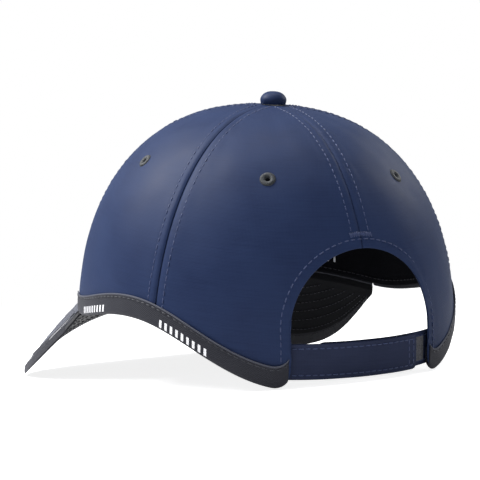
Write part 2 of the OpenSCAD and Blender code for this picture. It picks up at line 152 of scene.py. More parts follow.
@dataclass(frozen=True)
class CrownForm:
    """The crown's outer form, in millimetres and degrees, before the cap is stood on the table.

    Azimuths run from the front, positive to the wearer's left. A rise is a share of the height.
    Pairs named pucker, sway, ripple or dip give a height or depth and its wavelength or width.
    """

    length: float = 194.0
    width: float = 174.0
    height: float = 104.0
    shoulder: float = 2.2
    fullness: float = 2.35
    lean: float = 1.5
    tilt: float = 15.2
    rim_front: float = 6.0
    rim_root: float = 5.0
    rim_side: float = 19.0
    rim_corner: float = 0.0
    corner_radius: float = 7.0
    root_azimuth: float = 71.0
    side_azimuth: float = 114.0
    opening_width: float = 65.0
    opening_side: float = 21.5
    opening_arch: float = 32.5
    seams: tuple = (-120.0, -60.0, 0.0, 60.0, 120.0, 180.0)
    eyelet_azimuths: tuple = (-150.0, -90.0, -30.0, 30.0, 90.0, 150.0)
    eyelet_rise: float = 0.76
    stitch_offset: float = 4.0
    seam_tuck: tuple = (0.55, 0.8)
    stitch_groove: tuple = (0.2, 0.75)
    allowance_rise: float = 0.22
    seam_pucker: tuple = (0.2, 6.5)
    cloth_sway: tuple = (0.42, 64.0)
    cloth_ripple: tuple = (0.12, 23.0)
    hem_rise: float = 0.25
    hem_groove: tuple = (0.22, 0.8)
    hem_pucker: tuple = (0.1, 15.0)
    eyelet_dip: tuple = (0.3, 5.5)

    @property
    def corner_azimuth(self) -> float:
        """Azimuth of the rim's back corner."""
        return 180 - math.degrees(math.asin(self.opening_width / self.width))

    def ease(self, a: Array, span: tuple, heights: tuple) -> Array:
        """Returns heights that pass from one to another along a cosine.

        Args:
            a: Azimuths.
            span: The two azimuths between which the height changes.
            heights: The heights at those azimuths.

        Returns:
            The heights at a.
        """
        turn = (1 - np.cos(np.pi * (a - span[0]) / (span[1] - span[0]))) / 2
        return heights[0] + (heights[1] - heights[0]) * turn

    def rim(self, azimuth: Array) -> Array:
        """Returns the height of the rim's cut edge at azimuths."""
        a = np.abs((np.asarray(azimuth, float) + 180) % 360 - 180)
        corner = self.corner_azimuth
        front = self.ease(a, (0, self.root_azimuth), (self.rim_front, self.rim_root))
        side = self.ease(a, (self.root_azimuth, self.side_azimuth), (self.rim_root, self.rim_side))
        back = self.ease(a, (self.side_azimuth, corner), (self.rim_side, self.rim_corner))
        height = np.where(a < self.root_azimuth, front, np.where(a < self.side_azimuth, side, back))
        height = np.where(a < corner, height, self.rim_corner)
        past = self.width / 2 * np.sin(np.radians(a)) - self.opening_width / 2
        left = self.corner_radius - np.clip(past, 0, self.corner_radius)
        lift = self.corner_radius - np.sqrt(self.corner_radius**2 - left**2)
        return height + np.where(a < 90, 0.0, lift)

    def girth(self, rise: Array) -> Array:
        """Returns the share of the rim's size that is left at rises."""
        w = np.clip(np.asarray(rise, float), 0, 1)
        return (1 - w**self.shoulder) ** (1 / self.fullness)

    def rise_at(self, share: float) -> float:
        """Returns the rise at which the crown has shrunk to a share of the rim's size."""
        return (1 - share**self.fullness) ** (1 / self.shoulder)

    def point(self, azimuth: Array, rise: Array, inset: Array = 0.0) -> Array:
        """Returns points of the form.

        Args:
            azimuth: Azimuths.
            rise: Rises.
            inset: Distance that the form is drawn in.

        Returns:
            Points in millimetres, the last axis X, Y, Z.
        """
        a, w = np.radians(np.asarray(azimuth, float)), np.asarray(rise, float)
        lean = np.where(w > 0, 4 * self.lean * w * (1 - w), 0.0)
        x = (self.width / 2 - inset) * self.girth(w) * np.sin(a)
        y = -(self.length / 2 - inset) * self.girth(w) * np.cos(a) - lean
        return np.stack(np.broadcast_arrays(x, y, (self.height - inset) * w), -1)

    def normal(self, azimuth: Array, rise: Array) -> Array:
        """Returns the outward directions at azimuths and rises."""
        w = np.clip(rise, -0.3, 0.995)
        along = self.point(azimuth + 0.5, w) - self.point(azimuth - 0.5, w)
        up = self.point(azimuth, w + 0.002) - self.point(azimuth, w - 0.002)
        out = np.cross(along, up)
        return out / np.linalg.norm(out, axis=-1, keepdims=True)

    def degree(self, azimuth: Array, rise: Array) -> Array:
        """Returns how many millimetres a degree of azimuth spans."""
        a = np.radians(azimuth)
        radius = np.hypot(self.width / 2 * np.cos(a), self.length / 2 * np.sin(a))
        return self.girth(rise) * radius * math.pi / 180

    def climb(self, azimuth: Array, rise: Array) -> Array:
        """Returns the length of cloth from the rim's level up to each rise.

        Args:
            azimuth: Azimuths.
            rise: Rises of the same shape.

        Returns:
            Lengths in millimetres.
        """
        steps = np.linspace(0, 1, 61)
        line = self.point(0.0, steps * 0.999)
        length = running_length(line)
        return np.interp(np.broadcast_arrays(azimuth, rise)[1], steps * 0.999, length)

    def seam_distance(self, azimuth: Array, rise: Array) -> Array:
        """Returns the distance to the nearest seam, in millimetres."""
        a = np.asarray(azimuth, float)[..., None]
        apart = np.abs((a - np.array(self.seams) + 180) % 360 - 180).min(-1)
        return apart * self.degree(azimuth, rise)

    def opening_distance(self, points: Array) -> Array:
        """Returns how far points of the back lie outside the opening's edge.

        Args:
            points: Points in millimetres.

        Returns:
            Distances in millimetres, very large on the front half.
        """
        x, z = np.abs(points[..., 0]), points[..., 2]
        half = self.opening_width / 2
        over = np.hypot(x / half, (z - self.opening_side) / self.opening_arch)
        arch = (over - 1) * (half + self.opening_arch) / 2
        edge = np.where(z > self.opening_side, arch, x - half)
        return np.where(points[..., 1] > 0, edge, 1e3)

    def relief(self, azimuth: Array, rise: Array) -> Array:
        """Returns how far the sewn cloth stands off the form.

        A seam tucks in between the two raised seam allowances, each needle row pulls a groove with
        small puckers beside it, and the free cloth is not quite even.

        Args:
            azimuth: Azimuths.
            rise: Rises.

        Returns:
            Outward offsets in millimetres.
        """
        azimuth, rise = np.broadcast_arrays(np.asarray(azimuth, float), np.asarray(rise, float))
        gap = self.seam_distance(azimuth, rise)
        up = self.climb(azimuth, rise)
        across = azimuth * 1.5
        tuck, groove = self.seam_tuck, self.stitch_groove
        off = -tuck[0] * bell(gap, 0, tuck[1]) - groove[0] * bell(gap, self.stitch_offset, groove[1])
        off = off + self.allowance_rise * (1 - smooth_step(4.6, 7.5, gap))
        near = bell(gap, self.stitch_offset, 3.2)
        pucker, sway, fine = self.seam_pucker, self.cloth_sway, self.cloth_ripple
        off = off + pucker[0] * near * ripple(across, up, pucker[1], 1.0)
        off = off + sway[0] * smooth_step(3, 18, gap) * ripple(across, up, sway[1], 2.0)
        off = off + fine[0] * smooth_step(3, 12, gap) * ripple(across, up, fine[1], 3.0)
        points = self.point(azimuth, rise)
        edge = self.opening_distance(points)
        hem = smooth_step(-3, 0, edge) * (1 - smooth_step(3.4, 5.6, edge))
        off = off + self.hem_rise * hem - self.hem_groove[0] * bell(edge, 3.5, self.hem_groove[1])
        pucker = self.hem_pucker
        off = off + pucker[0] * bell(edge, 4.5, 3.5) * ripple(across * 2, up * 2, pucker[1], 5.0)
        for middle in self.eyelet_azimuths:
            eye = self.point(middle, self.eyelet_rise)
            apart = np.linalg.norm(points - eye, axis=-1)
            off = off - self.eyelet_dip[0] * bell(apart, 0, self.eyelet_dip[1])
        top = 1 - smooth_step(0.965, 0.995, rise)
        rim = smooth_step(0, 9, (rise * self.height) - self.rim(azimuth))
        return off * top * (0.25 + 0.75 * rim)

    def surface(self, azimuth: Array, rise: Array, lift: Array = 0.0) -> Array:
        """Returns points on the sewn cloth, or lifted off it, in millimetres."""
        azimuth, rise = np.broadcast_arrays(np.asarray(azimuth, float), np.asarray(rise, float))
        off = self.relief(azimuth, rise) + lift
        return self.point(azimuth, rise) + self.normal(azimuth, rise) * off[..., None]

    def place(self, points: Array) -> Array:
        """Returns points as the cap stands on the table, in metres."""
        t = math.radians(self.tilt)
        y, z = points[..., 1], points[..., 2]
        stood = [points[..., 0], y * math.cos(t) + z * math.sin(t), z * math.cos(t) - y * math.sin(t)]
        return np.stack(stood, -1) * MM

    def turn(self, directions: Array) -> Array:
        """Returns directions as the cap stands on the table."""
        return self.place(directions) / MM


@dataclass(frozen=True)
class PeakForm:
    """The peak's form: rulings from the rim out to a squared outline, in millimetres."""

    crown: CrownForm = field(default_factory=CrownForm)
    length: float = 77.0
    width: float = 188.0
    square: float = 3.0
    pitch: float = 28.0
    side_pitch: float = 46.0
    root_inset: float = 0.9
    end_width: float = 1.6
    draw_in: float = 10.0

    def root(self, azimuth: Array) -> Array:
        """Returns the plan points where the peak meets the crown."""
        a = np.radians(azimuth)
        x = (self.crown.width / 2 - self.root_inset) * np.sin(a)
        return np.stack([x, -(self.crown.length / 2 - self.root_inset) * np.cos(a)], -1)

    def edge(self, azimuth: Array) -> Array:
        """Returns the plan points of the peak's outline."""
        end = self.crown.root_azimuth
        phi = np.radians(90 * np.asarray(azimuth, float) / end)
        power = 2 / self.square
        end_x = self.root(np.array(end))[0] + self.end_width
        draw = (np.abs(phi) / (math.pi / 2)) ** self.draw_in
        x = self.width / 2 * np.abs(np.sin(phi)) ** power * (1 - draw) + end_x * draw
        back = self.crown.length / 2 * math.cos(math.radians(end)) + 2
        front = self.crown.length / 2 + self.length
        y = -back - (front - back) * np.clip(np.cos(phi), 0, 1) ** power
        return np.stack([np.sign(phi) * x, y], -1)

    def reach(self, azimuth: Array) -> Array:
        """Returns the length of the rulings."""
        return np.linalg.norm(self.edge(azimuth) - self.root(azimuth), axis=-1)

    def point(self, azimuth: Array, out: Array, drop: Array = 0.0) -> Array:
        """Returns points of the peak.

        Args:
            azimuth: Azimuths of the rulings.
            out: Distances out along them.
            drop: Depths under the top.

        Returns:
            Points in millimetres.
        """
        azimuth, out, drop = np.broadcast_arrays(azimuth, out, drop)
        root, edge = self.root(azimuth), self.edge(azimuth)
        plan = root + (edge - root) * (out / self.reach(azimuth))[..., None]
        side = (plan[..., 0] / (self.width / 2)) ** 2
        slope = math.tan(math.radians(self.pitch)) * (1 - side)
        slope = slope + math.tan(math.radians(self.side_pitch)) * side
        height = self.crown.rim(azimuth) - 0.1 - out * slope - drop
        return np.stack([plan[..., 0], plan[..., 1], height], -1)

    def rulings(self, count: int, share: float = 1.0) -> Array:
        """Returns azimuths of rulings, closer together towards the peak's ends."""
        t = np.linspace(-1, 1, count)
        return self.crown.root_azimuth * share * (t + np.sin(t * math.pi / 2)) / 2


# ---------------------------------------------------------------- mesh


def only(piece: bpy.types.Object) -> bpy.types.Object:
    """Makes a piece the only one that operators act on."""
    if bpy.context.object and bpy.context.object.mode != "OBJECT":
        bpy.ops.object.mode_set(mode="OBJECT")
    bpy.ops.object.select_all(action="DESELECT")
    bpy.context.view_layer.objects.active = piece
    piece.select_set(True)
    return piece


def finish_modifier(piece: bpy.types.Object, kind: str, **settings: object) -> None:
    """Adds a modifier to a piece and applies it.

    Args:
        piece: The piece.
        kind: Blender's name of the modifier's kind.
        **settings: Values of the modifier's properties.
    """
    only(piece)
    modifier = piece.modifiers.new(kind.title(), kind)
    for name, value in settings.items():
        setattr(modifier, name, value)
    bpy.ops.object.modifier_apply(modifier=modifier.name)


def coordinates(piece: bpy.types.Object) -> Array:
    """Returns the points of a piece's mesh."""
    return np.array([v.co[:] for v in piece.data.vertices])


def mesh_piece(name: str, points: Array, faces: list, maps: Array = None) -> bpy.types.Object:
    """Makes a piece from points and faces.

    Args:
        name: Name of the piece.
        points: Points in metres.
        faces: Lists of point numbers.
        maps: Flat coordinate of each point in metres, or None.

    Returns:
        The new object.
    """
    mesh = bpy.data.meshes.new(name)
    mesh.from_pydata(np.asarray(points, float).reshape(-1, 3).tolist(), [], faces)
    if maps is not None:
        layer = mesh.uv_layers.new(name=CLOTH_MAP)
        corner = np.zeros(len(mesh.loops), np.int32)
        mesh.loops.foreach_get("vertex_index", corner)
        layer.data.foreach_set("uv", np.asarray(maps, float).reshape(-1, 2)[corner].ravel())
    mesh.update()
    piece = bpy.data.objects.new(name, mesh)
    bpy.context.scene.collection.objects.link(piece)
    return piece


def cloth_grid(name: str, points: Array, maps: Array) -> bpy.types.Object:
    """Makes a sheet from a grid of points, rows by columns.

    Args:
        name: Name of the piece.
        points: Points in metres. Columns run to the right and rows up, as seen from outside.
        maps: Flat coordinates in metres, of the same rows and columns.

    Returns:
        The new sheet.
    """
    rows, cols = points.shape[:2]
    at = np.arange(rows * cols).reshape(rows, cols)
    quads = np.stack([at[:-1, :-1], at[:-1, 1:], at[1:, 1:], at[1:, :-1]], -1).reshape(-1, 4)
    return mesh_piece(name, points, quads.tolist(), maps)


def thicken(piece: bpy.types.Object, thickness: float, way: Facing, rounds: int = 1) -> None:
    """Gives a sheet its thickness and rounds it.

    Args:
        piece: The sheet.
        thickness: Thickness in millimetres.
        way: Which way the thickness grows.
        rounds: Levels of subdivision.
    """
    finish_modifier(piece, "SOLIDIFY", thickness=thickness * MM, offset=way.value)
    if rounds:
        finish_modifier(piece, "SUBSURF", levels=rounds, render_levels=rounds)
    shade(piece)


def shade(piece: bpy.types.Object, angle: float = 50.0) -> None:
    """Shades a piece smooth where its faces meet at less than an angle in degrees."""
    only(piece)
    bpy.ops.object.shade_smooth_by_angle(angle=math.radians(angle))


def cut_size(points: Array) -> tuple:
    """Measures the flat cut of a sheet from its grid of points.

    Args:
        points: Points in metres, rows by columns.

    Returns:
        The widest width, the longest length and the area.
    """
    width = np.linalg.norm(np.diff(points, axis=1), axis=-1).sum(1).max()
    length = np.linalg.norm(np.diff(points, axis=0), axis=-1).sum(0).max()
    one = np.cross(points[1:, :-1] - points[:-1, :-1], points[:-1, 1:] - points[:-1, :-1])
    two = np.cross(points[1:, :-1] - points[1:, 1:], points[:-1, 1:] - points[1:, 1:])
    area = (np.linalg.norm(one, axis=-1).sum() + np.linalg.norm(two, axis=-1).sum()) / 2
    return float(width), float(length), float(min(area, width * length))


@dataclass
class Workshop:
    """Puts finished pieces on their bodies and keeps count of them."""

    pieces: list = field(default_factory=list)

    def hand_over(
        self,
        piece: bpy.types.Object,
        finish: "Finish",
        slot: str,
        body: str = "crown",
        replaces: tuple = (),
    ) -> bpy.types.Object:
        """Dresses a piece and puts it on its body.

        Args:
            piece: The finished mesh.
            finish: Its finish.
            slot: Not used.
            body: The body that it rides on, or an empty name to leave it on no body.
            replaces: CAD nodes that it stands for.

        Returns:
            The piece.
        """
        self.dress(piece, finish)
        if body:
            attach(piece, body)
        if replaces:
            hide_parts(*replaces)
        self.pieces.append(piece)
        LOG.info("%s: %d faces, %s", piece.name, len(piece.data.polygons), finish.name)
        return piece

    def dress(self, piece: bpy.types.Object, finish: "Finish") -> None:
        """Gives a piece its finish and nothing else."""
        piece.data.materials.clear()
        piece.data.materials.append(finish.material())

    def declare(self, piece: bpy.types.Object, grid: Array, held: str = "stretched") -> None:
        """Logs the flat size of a sheet of cloth, measured from its grid.

        Args:
            piece: The sheet.
            grid: Its points in metres, rows by columns.
            held: Not used.
        """
        width, length, area = cut_size(grid)
        LOG.info("%s: flat %.0f x %.0f mm, %.0f cm2", piece.name, width / MM, length / MM, area * 1e4)


@dataclass
class Thread:
    """Sewing thread: one stitch is modelled, and copied along each row.

    Each step of a stitch's end is a run along it, as a share of its length, a sink in millimetres
    and the share of its thickness that is left.
    """

    radius: float = 0.24
    length: float = 2.3
    pitch: float = 3.0
    sides: int = 6
    steps: tuple = ((0.16, 0.1, 0.85), (0.09, 0.22, 0.45))
    points: Array = None
    faces: list = None

    def model(self) -> None:
        """Models one stitch along X that rises from the cloth and dips back at both ends."""
        bpy.ops.object.select_all(action="DESELECT")
        bpy.ops.mesh.primitive_cylinder_add(
            vertices=self.sides,
            radius=self.radius * MM,
            depth=self.length * 0.5 * MM,
            end_fill_type="NGON",
            rotation=(0, math.pi / 2, 0),
        )
        stitch = bpy.context.object
        bpy.ops.object.transform_apply(location=True, rotation=True, scale=True)
        bpy.ops.object.mode_set(mode="EDIT")
        bpy.ops.mesh.select_mode(type="FACE")
        for way in (1, -1):
            for run, sink, size in self.steps:
                self.pick_end(stitch, way)
                bpy.ops.mesh.extrude_region_move(
                    TRANSFORM_OT_translate={
                        "value": (way * run * self.length * MM, 0, -sink * MM)
                    }
                )
                bpy.ops.transform.resize(value=(1, size, size))
        bpy.ops.object.mode_set(mode="OBJECT")
        self.points = coordinates(stitch)
        self.faces = [list(f.vertices) for f in stitch.data.polygons]
        bpy.data.objects.remove(stitch)

    def pick_end(self, stitch: bpy.types.Object, way: int) -> None:
        """Selects the end face of the stitch that looks along X the given way."""
        bpy.ops.mesh.select_all(action="DESELECT")
        bpy.ops.object.mode_set(mode="OBJECT")
        faces = stitch.data.polygons
        end = max(faces, key=lambda f: way * f.center.x + (0.01 if len(f.vertices) > 4 else 0))
        end.select = True
        bpy.ops.object.mode_set(mode="EDIT")

    def lay(self, name: str, spots: Array, along: Array, out: Array) -> bpy.types.Object:
        """Copies the stitch to many places as one piece.

        Args:
            name: Name of the piece.
            spots: Places in metres.
            along: Direction of each stitch.
            out: Outward direction at each.

        Returns:
            The new piece.
        """
        along = along / np.linalg.norm(along, axis=-1, keepdims=True)
        side = np.cross(out, along)
        side = side / np.linalg.norm(side, axis=-1, keepdims=True)
        up = np.cross(along, side)
        p = self.points
        made = spots[:, None] + (
            p[None, :, 0:1] * along[:, None] + p[None, :, 1:2] * side[:, None] + p[None, :, 2:3] * up[:, None]
        )
        count = len(p)
        faces = [[i + k * count for i in f] for k in range(len(spots)) for f in self.faces]
        piece = mesh_piece(name, made, faces)
        shade(piece, 80)
        return piece

    def row(self, line: Array, out: Array, pitch: float = None) -> tuple:
        """Spaces stitches along a line.

        Args:
            line: Points of the line in metres.
            out: Outward directions at those points.
            pitch: Distance from stitch to stitch in millimetres, or None for the thread's own.

        Returns:
            The places, directions and outward directions of the stitches.
        """
        length = running_length(line)
        step = (pitch or self.pitch) * MM
        at = np.arange(step / 2, length[-1], step)
        spots = np.stack([np.interp(at, length, line[:, k]) for k in range(3)], -1)
        ahead = np.stack([np.interp(at + step / 4, length, line[:, k]) for k in range(3)], -1)
        behind = np.stack([np.interp(at - step / 4, length, line[:, k]) for k in range(3)], -1)
        normal = np.stack([np.interp(at, length, out[:, k]) for k in range(3)], -1)
        return spots, ahead - behind, normal / np.linalg.norm(normal, axis=-1, keepdims=True)

    def rows(self, name: str, lines: list, pitch: float = None) -> bpy.types.Object:
        """Lays several rows as one piece.

        Args:
            name: Name of the piece.
            lines: Pairs of a line's points and its outward directions.
            pitch: Distance from stitch to stitch in millimetres, or None for the thread's own.

        Returns:
            The new piece.
        """
        made = [self.row(line, out, pitch) for line, out in lines]
        return self.lay(name, *[np.concatenate([m[k] for m in made]) for k in range(3)])


# ---------------------------------------------------------------- finishes


def linear(hex_colour: str) -> tuple:
    """Turns an sRGB hex colour into linear red, green, blue and alpha."""
    values = [int(hex_colour[i : i + 2], 16) / 255 for i in (1, 3, 5)]
    return (*[v / 12.92 if v <= 0.04045 else ((v + 0.055) / 1.055) ** 2.4 for v in values], 1.0)


def set_inputs(node: bpy.types.Node, inputs: dict) -> None:
    """Links or sets the inputs of a node.

    Args:
        node: The node.
        inputs: By name or number, a plain value, an output socket, or a node whose first output is meant.
    """
    for name, value in inputs.items():
        if isinstance(value, bpy.types.Node):
            value = value.outputs[0]
        if isinstance(value, bpy.types.NodeSocket):
            node.id_data.links.new(value, node.inputs[name])
        else:
            node.inputs[name].default_value = value


def add_node(tree: bpy.types.NodeTree, kind: str, inputs: dict = None, **settings: object) -> bpy.types.Node:
    """Adds a node with its settings and links.

    Args:
        tree: The node tree.
        kind: Blender's type name of the node, without its leading "ShaderNode".
        inputs: Its inputs, as set_inputs takes them.
        **settings: Values of the node's own properties.

    Returns:
        The new node.
    """
    node = tree.nodes.new("ShaderNode" + kind)
    for name, value in settings.items():
        setattr(node, name, value)
    set_inputs(node, inputs or {})
    return node


class Finish:
    """A material, made once and shared. Kinds of finish fill in its name and its nodes."""

    name: str = ""

    def material(self) -> bpy.types.Material:
        """Returns the finish's material, making it the first time."""
        found = bpy.data.materials.get(self.name)
        if found:
            return found
        made = bpy.data.materials.new(self.name)
        made.use_nodes = True
        tree = made.node_tree
        tree.nodes.clear()
        shader = add_node(tree, "BsdfPrincipled")
        add_node(tree, "OutputMaterial", {"Surface": shader})
        self.weave(tree, shader)
        return made

    def weave(self, tree: bpy.types.NodeTree, shader: bpy.types.Node) -> None:
        """Adds the finish's own nodes and values."""
        raise NotImplementedError


def wave(tree: bpy.types.NodeTree, value: bpy.types.NodeSocket, pitch: float) -> bpy.types.NodeSocket:
    """Turns a distance in metres into a sine wave from 0 to 1.

    Args:
        tree: The node tree.
        value: The distance.
        pitch: Wavelength in millimetres.

    Returns:
        The wave's socket.
    """
    turns = add_node(tree, "Math", {0: value, 1: 2 * math.pi / (pitch * MM)}, operation="MULTIPLY")
    sine = add_node(tree, "Math", {0: turns}, operation="SINE")
    half = add_node(tree, "Math", {0: sine, 1: 0.5, 2: 0.5}, operation="MULTIPLY_ADD")
    return half.outputs[0]


@dataclass(frozen=True)
class WovenCloth(Finish):
    """Plain-woven polyester microfibre.

    Threads are about 0.2 mm apart, drawn at 0.55 mm so that they show. They give the eye a soft
    matt face, a pale sheen at grazing angles, faint slubs along the weft and slow changes of tone.
    """

    name: str = "woven_polyester_navy"
    colour: str = "#202D4C"
    shade: str = "#192441"
    sheen_colour: str = "#A9BCE6"
    sheen: float = 0.05
    gloss: float = 0.09
    roughness: float = 0.5
    thread_mm: float = 0.55
    bump: float = 0.25

    def weave(self, tree: bpy.types.NodeTree, shader: bpy.types.Node) -> None:
        """Adds warp and weft, slubs and tone."""
        flat = add_node(tree, "UVMap", uv_map=CLOTH_MAP)
        split = add_node(tree, "SeparateXYZ", {0: flat})
        warp = wave(tree, split.outputs[0], self.thread_mm)
        weft = wave(tree, split.outputs[1], self.thread_mm)
        threads = add_node(tree, "Math", {0: warp, 1: weft}, operation="MULTIPLY")
        drawn = add_node(tree, "Mapping", {"Vector": flat, "Scale": (60, 1400, 1)})
        slub = add_node(tree, "TexNoise", {"Vector": drawn, "Scale": 1.0, "Detail": 2.0})
        tone = add_node(tree, "TexNoise", {"Vector": flat, "Scale": 38.0, "Detail": 3.0})
        both = add_node(
            tree, "Math", {0: slub, 1: 0.55, 2: tone}, operation="MULTIPLY_ADD"
        )
        mixed = add_node(
            tree, "Math", {0: threads, 1: 0.5, 2: both}, operation="MULTIPLY_ADD"
        )
        ramp = add_node(tree, "ValToRGB", {0: mixed})
        ramp.color_ramp.elements[0].position = 0.55
        ramp.color_ramp.elements[0].color = linear(self.shade)
        ramp.color_ramp.elements[1].position = 1.25 / 1.3
        ramp.color_ramp.elements[1].color = linear(self.colour)
        rough = add_node(
            tree,
            "MapRange",
            {0: tone, 1: 0.3, 2: 0.7, 3: self.roughness - 0.05, 4: self.roughness + 0.08},
        )
        bump = add_node(
            tree, "Bump", {"Height": threads, "Strength": self.bump, "Distance": 0.00012}
        )
        soft = add_node(
            tree,
            "Bump",
            {"Height": slub, "Strength": self.bump * 0.6, "Distance": 0.0001, "Normal": bump},
        )
        set_inputs(
            shader,
            {
                "Base Color": ramp,
                "Roughness": rough,
                "Normal": soft,
                "Sheen Weight": self.sheen,
                "Sheen Roughness": 0.45,
                "Sheen Tint": linear(self.sheen_colour),
                "Specular IOR Level": self.gloss,
            },
        )


@dataclass(frozen=True)
class TwillTape(Finish):
    """Narrow polyester twill tape, woven with a firm edge and printed with plain pale bars.

    Diagonal ribs 0.9 mm apart catch the light, a painted highlight makes the top edge paler, and the print
    sits in groups along one edge.
    """

    name: str = "twill_tape_charcoal"
    colour: str = "#25262E"
    rib: str = "#191A20"
    # Painted highlight: a paler colour along the top edge, where the tape's raised fold catches the light.
    edge_highlight_colour: str = "#43454F"
    print_colour: str = "#E9E9EC"
    rib_mm: float = 0.9
    edge_highlight_mm: float = 0.9
    bars: bool = True
    group_mm: float = 62.0
    group_length_mm: float = 25.0
    group_start_mm: float = 24.5
    bar_mm: float = 2.9
    bar_width_mm: float = 1.3
    bars_from_mm: float = 5.3
    bars_to_mm: float = 8.3

    def between(
        self, tree: bpy.types.NodeTree, value: bpy.types.NodeSocket, low: float, high: float
    ) -> bpy.types.NodeSocket:
        """Finds where a distance lies between two others.

        Args:
            tree: The node tree.
            value: The distance in metres.
            low: The lower limit in millimetres.
            high: The upper limit in millimetres.

        Returns:
            A socket that is 1 there and 0 elsewhere.
        """
        above = add_node(tree, "Math", {0: value, 1: low * MM}, operation="GREATER_THAN")
        below = add_node(tree, "Math", {0: value, 1: high * MM}, operation="LESS_THAN")
        both = add_node(tree, "Math", {0: above, 1: below}, operation="MULTIPLY")
        return both.outputs[0]

    def weave(self, tree: bpy.types.NodeTree, shader: bpy.types.Node) -> None:
        """Adds ribs, the painted highlight along the top edge and the bars."""
        flat = add_node(tree, "UVMap", uv_map=CLOTH_MAP)
        split = add_node(tree, "SeparateXYZ", {0: flat})
        along, across = split.outputs[0], split.outputs[1]
        slant = add_node(tree, "Math", {0: along, 1: across}, operation="ADD")
        ribs = wave(tree, slant.outputs[0], self.rib_mm)
        noise = add_node(tree, "TexNoise", {"Vector": flat, "Scale": 900.0, "Detail": 2.0})
        worn = add_node(tree, "Math", {0: noise, 1: 0.6, 2: ribs}, operation="MULTIPLY_ADD")
        ramp = add_node(tree, "ValToRGB", {0: worn})
        ramp.color_ramp.elements[0].color = linear(self.rib)
        ramp.color_ramp.elements[1].color = linear(self.colour)
        # Painted highlight: the band along the top edge is mixed towards the paler colour.
        rim = self.between(tree, across, -1.0, self.edge_highlight_mm)
        edge_highlighted = add_node(
            tree,
            "Mix",
            {0: rim, 6: ramp, 7: linear(self.edge_highlight_colour)},
            data_type="RGBA",
        )
        colour = edge_highlighted.outputs[2]
        if self.bars:
            colour = self.printed(tree, along, across, colour)
        bump = add_node(tree, "Bump", {"Height": ribs, "Strength": 0.5, "Distance": 0.00015})
        set_inputs(
            shader,
            {
                "Base Color": colour,
                "Normal": bump,
                "Roughness": 0.6,
                "Sheen Weight": 0.08,
                "Sheen Roughness": 0.5,
                "Sheen Tint": linear("#D5D6E0"),
                "Specular IOR Level": 0.2,
            },
        )

    def printed(
        self,
        tree: bpy.types.NodeTree,
        along: bpy.types.NodeSocket,
        across: bpy.types.NodeSocket,
        colour: bpy.types.NodeSocket,
    ) -> bpy.types.NodeSocket:
        """Adds the groups of plain bars.

        Args:
            tree: The node tree.
            along: Distance along the tape.
            across: Distance across it.
            colour: Colour under the print.

        Returns:
            The printed colour.
        """
        # Whole groups are added too, because the remainder of a negative length would be negative
        start = (200 * self.group_mm - self.group_start_mm) * MM
        moved = add_node(tree, "Math", {0: along, 1: start}, operation="ADD")
        group = add_node(tree, "Math", {0: moved, 1: self.group_mm * MM}, operation="MODULO")
        bar = add_node(tree, "Math", {0: group, 1: self.bar_mm * MM}, operation="MODULO")
        in_group = self.between(tree, group.outputs[0], -1.0, self.group_length_mm)
        in_bar = self.between(tree, bar.outputs[0], -1.0, self.bar_width_mm)
        in_band = self.between(tree, across, self.bars_from_mm, self.bars_to_mm)
        two = add_node(tree, "Math", {0: in_group, 1: in_bar}, operation="MULTIPLY")
        ink = add_node(tree, "Math", {0: two, 1: in_band}, operation="MULTIPLY")
        inked = add_node(
            tree, "Mix", {0: ink, 6: colour, 7: linear(self.print_colour)}, data_type="RGBA"
        )
        return inked.outputs[2]


@dataclass(frozen=True)
class SpunThread(Finish):
    """Twisted polyester sewing thread: two plies, so a fine slanting stripe and a soft shine."""

    name: str = "polyester_thread_navy"
    colour: str = "#36436A"
    twist_mm: float = 0.5

    def weave(self, tree: bpy.types.NodeTree, shader: bpy.types.Node) -> None:
        """Adds the twist."""
        place = add_node(tree, "TexCoord")
        split = add_node(tree, "SeparateXYZ", {0: place.outputs["Object"]})
        sum_xy = add_node(tree, "Math", {0: split, 1: split.outputs[1]}, operation="ADD")
        total = add_node(tree, "Math", {0: sum_xy, 1: split.outputs[2]}, operation="ADD")
        ply = wave(tree, total.outputs[0], self.twist_mm)
        dark = tuple(c * 0.6 for c in linear(self.colour)[:3]) + (1.0,)
        mixed = add_node(tree, "Mix", {0: ply, 6: dark, 7: linear(self.colour)}, data_type="RGBA")
        bump = add_node(tree, "Bump", {"Height": ply, "Strength": 0.4, "Distance": 0.0001})
        set_inputs(
            shader,
            {
                "Base Color": mixed.outputs[2],
                "Normal": bump,
                "Roughness": 0.5,
                "Specular IOR Level": 0.3,
                "Sheen Weight": 0.1,
            },
        )


@dataclass(frozen=True)
class Knit(Finish):
    """Brushed knit: rows of small loops about 0.8 mm apart under a short nap, dark and matt."""

    name: str = "brushed_knit_black_painted_shade"
    # The sweatband's near-black is partly painted shade, matched to the shaded inside of the crown.
    colour: str = "#10121A"
    valley: str = "#090A0F"
    loop_mm: float = 0.8

    def weave(self, tree: bpy.types.NodeTree, shader: bpy.types.Node) -> None:
        """Adds the loops and the nap."""
        flat = add_node(tree, "UVMap", uv_map=CLOTH_MAP)
        cells = add_node(
            tree,
            "TexVoronoi",
            {"Vector": flat, "Scale": 1 / (self.loop_mm * MM), "Randomness": 0.35},
        )
        nap = add_node(tree, "TexNoise", {"Vector": flat, "Scale": 700.0, "Detail": 3.0})
        both = add_node(tree, "Math", {0: cells, 1: nap}, operation="ADD")
        ramp = add_node(tree, "ValToRGB", {0: both})
        ramp.color_ramp.elements[0].position = 0.3
        ramp.color_ramp.elements[0].color = linear(self.colour)
        ramp.color_ramp.elements[1].color = linear(self.valley)
        bump = add_node(
            tree, "Bump", {"Height": both, "Strength": 0.5, "Distance": 0.0003}, invert=True
        )
        set_inputs(
            shader,
            {
                "Base Color": ramp,
                "Normal": bump,
                "Roughness": 0.85,
                "Specular IOR Level": 0.1,
                "Sheen Weight": 0.05,
                "Sheen Tint": linear("#6A7186"),
            },
        )


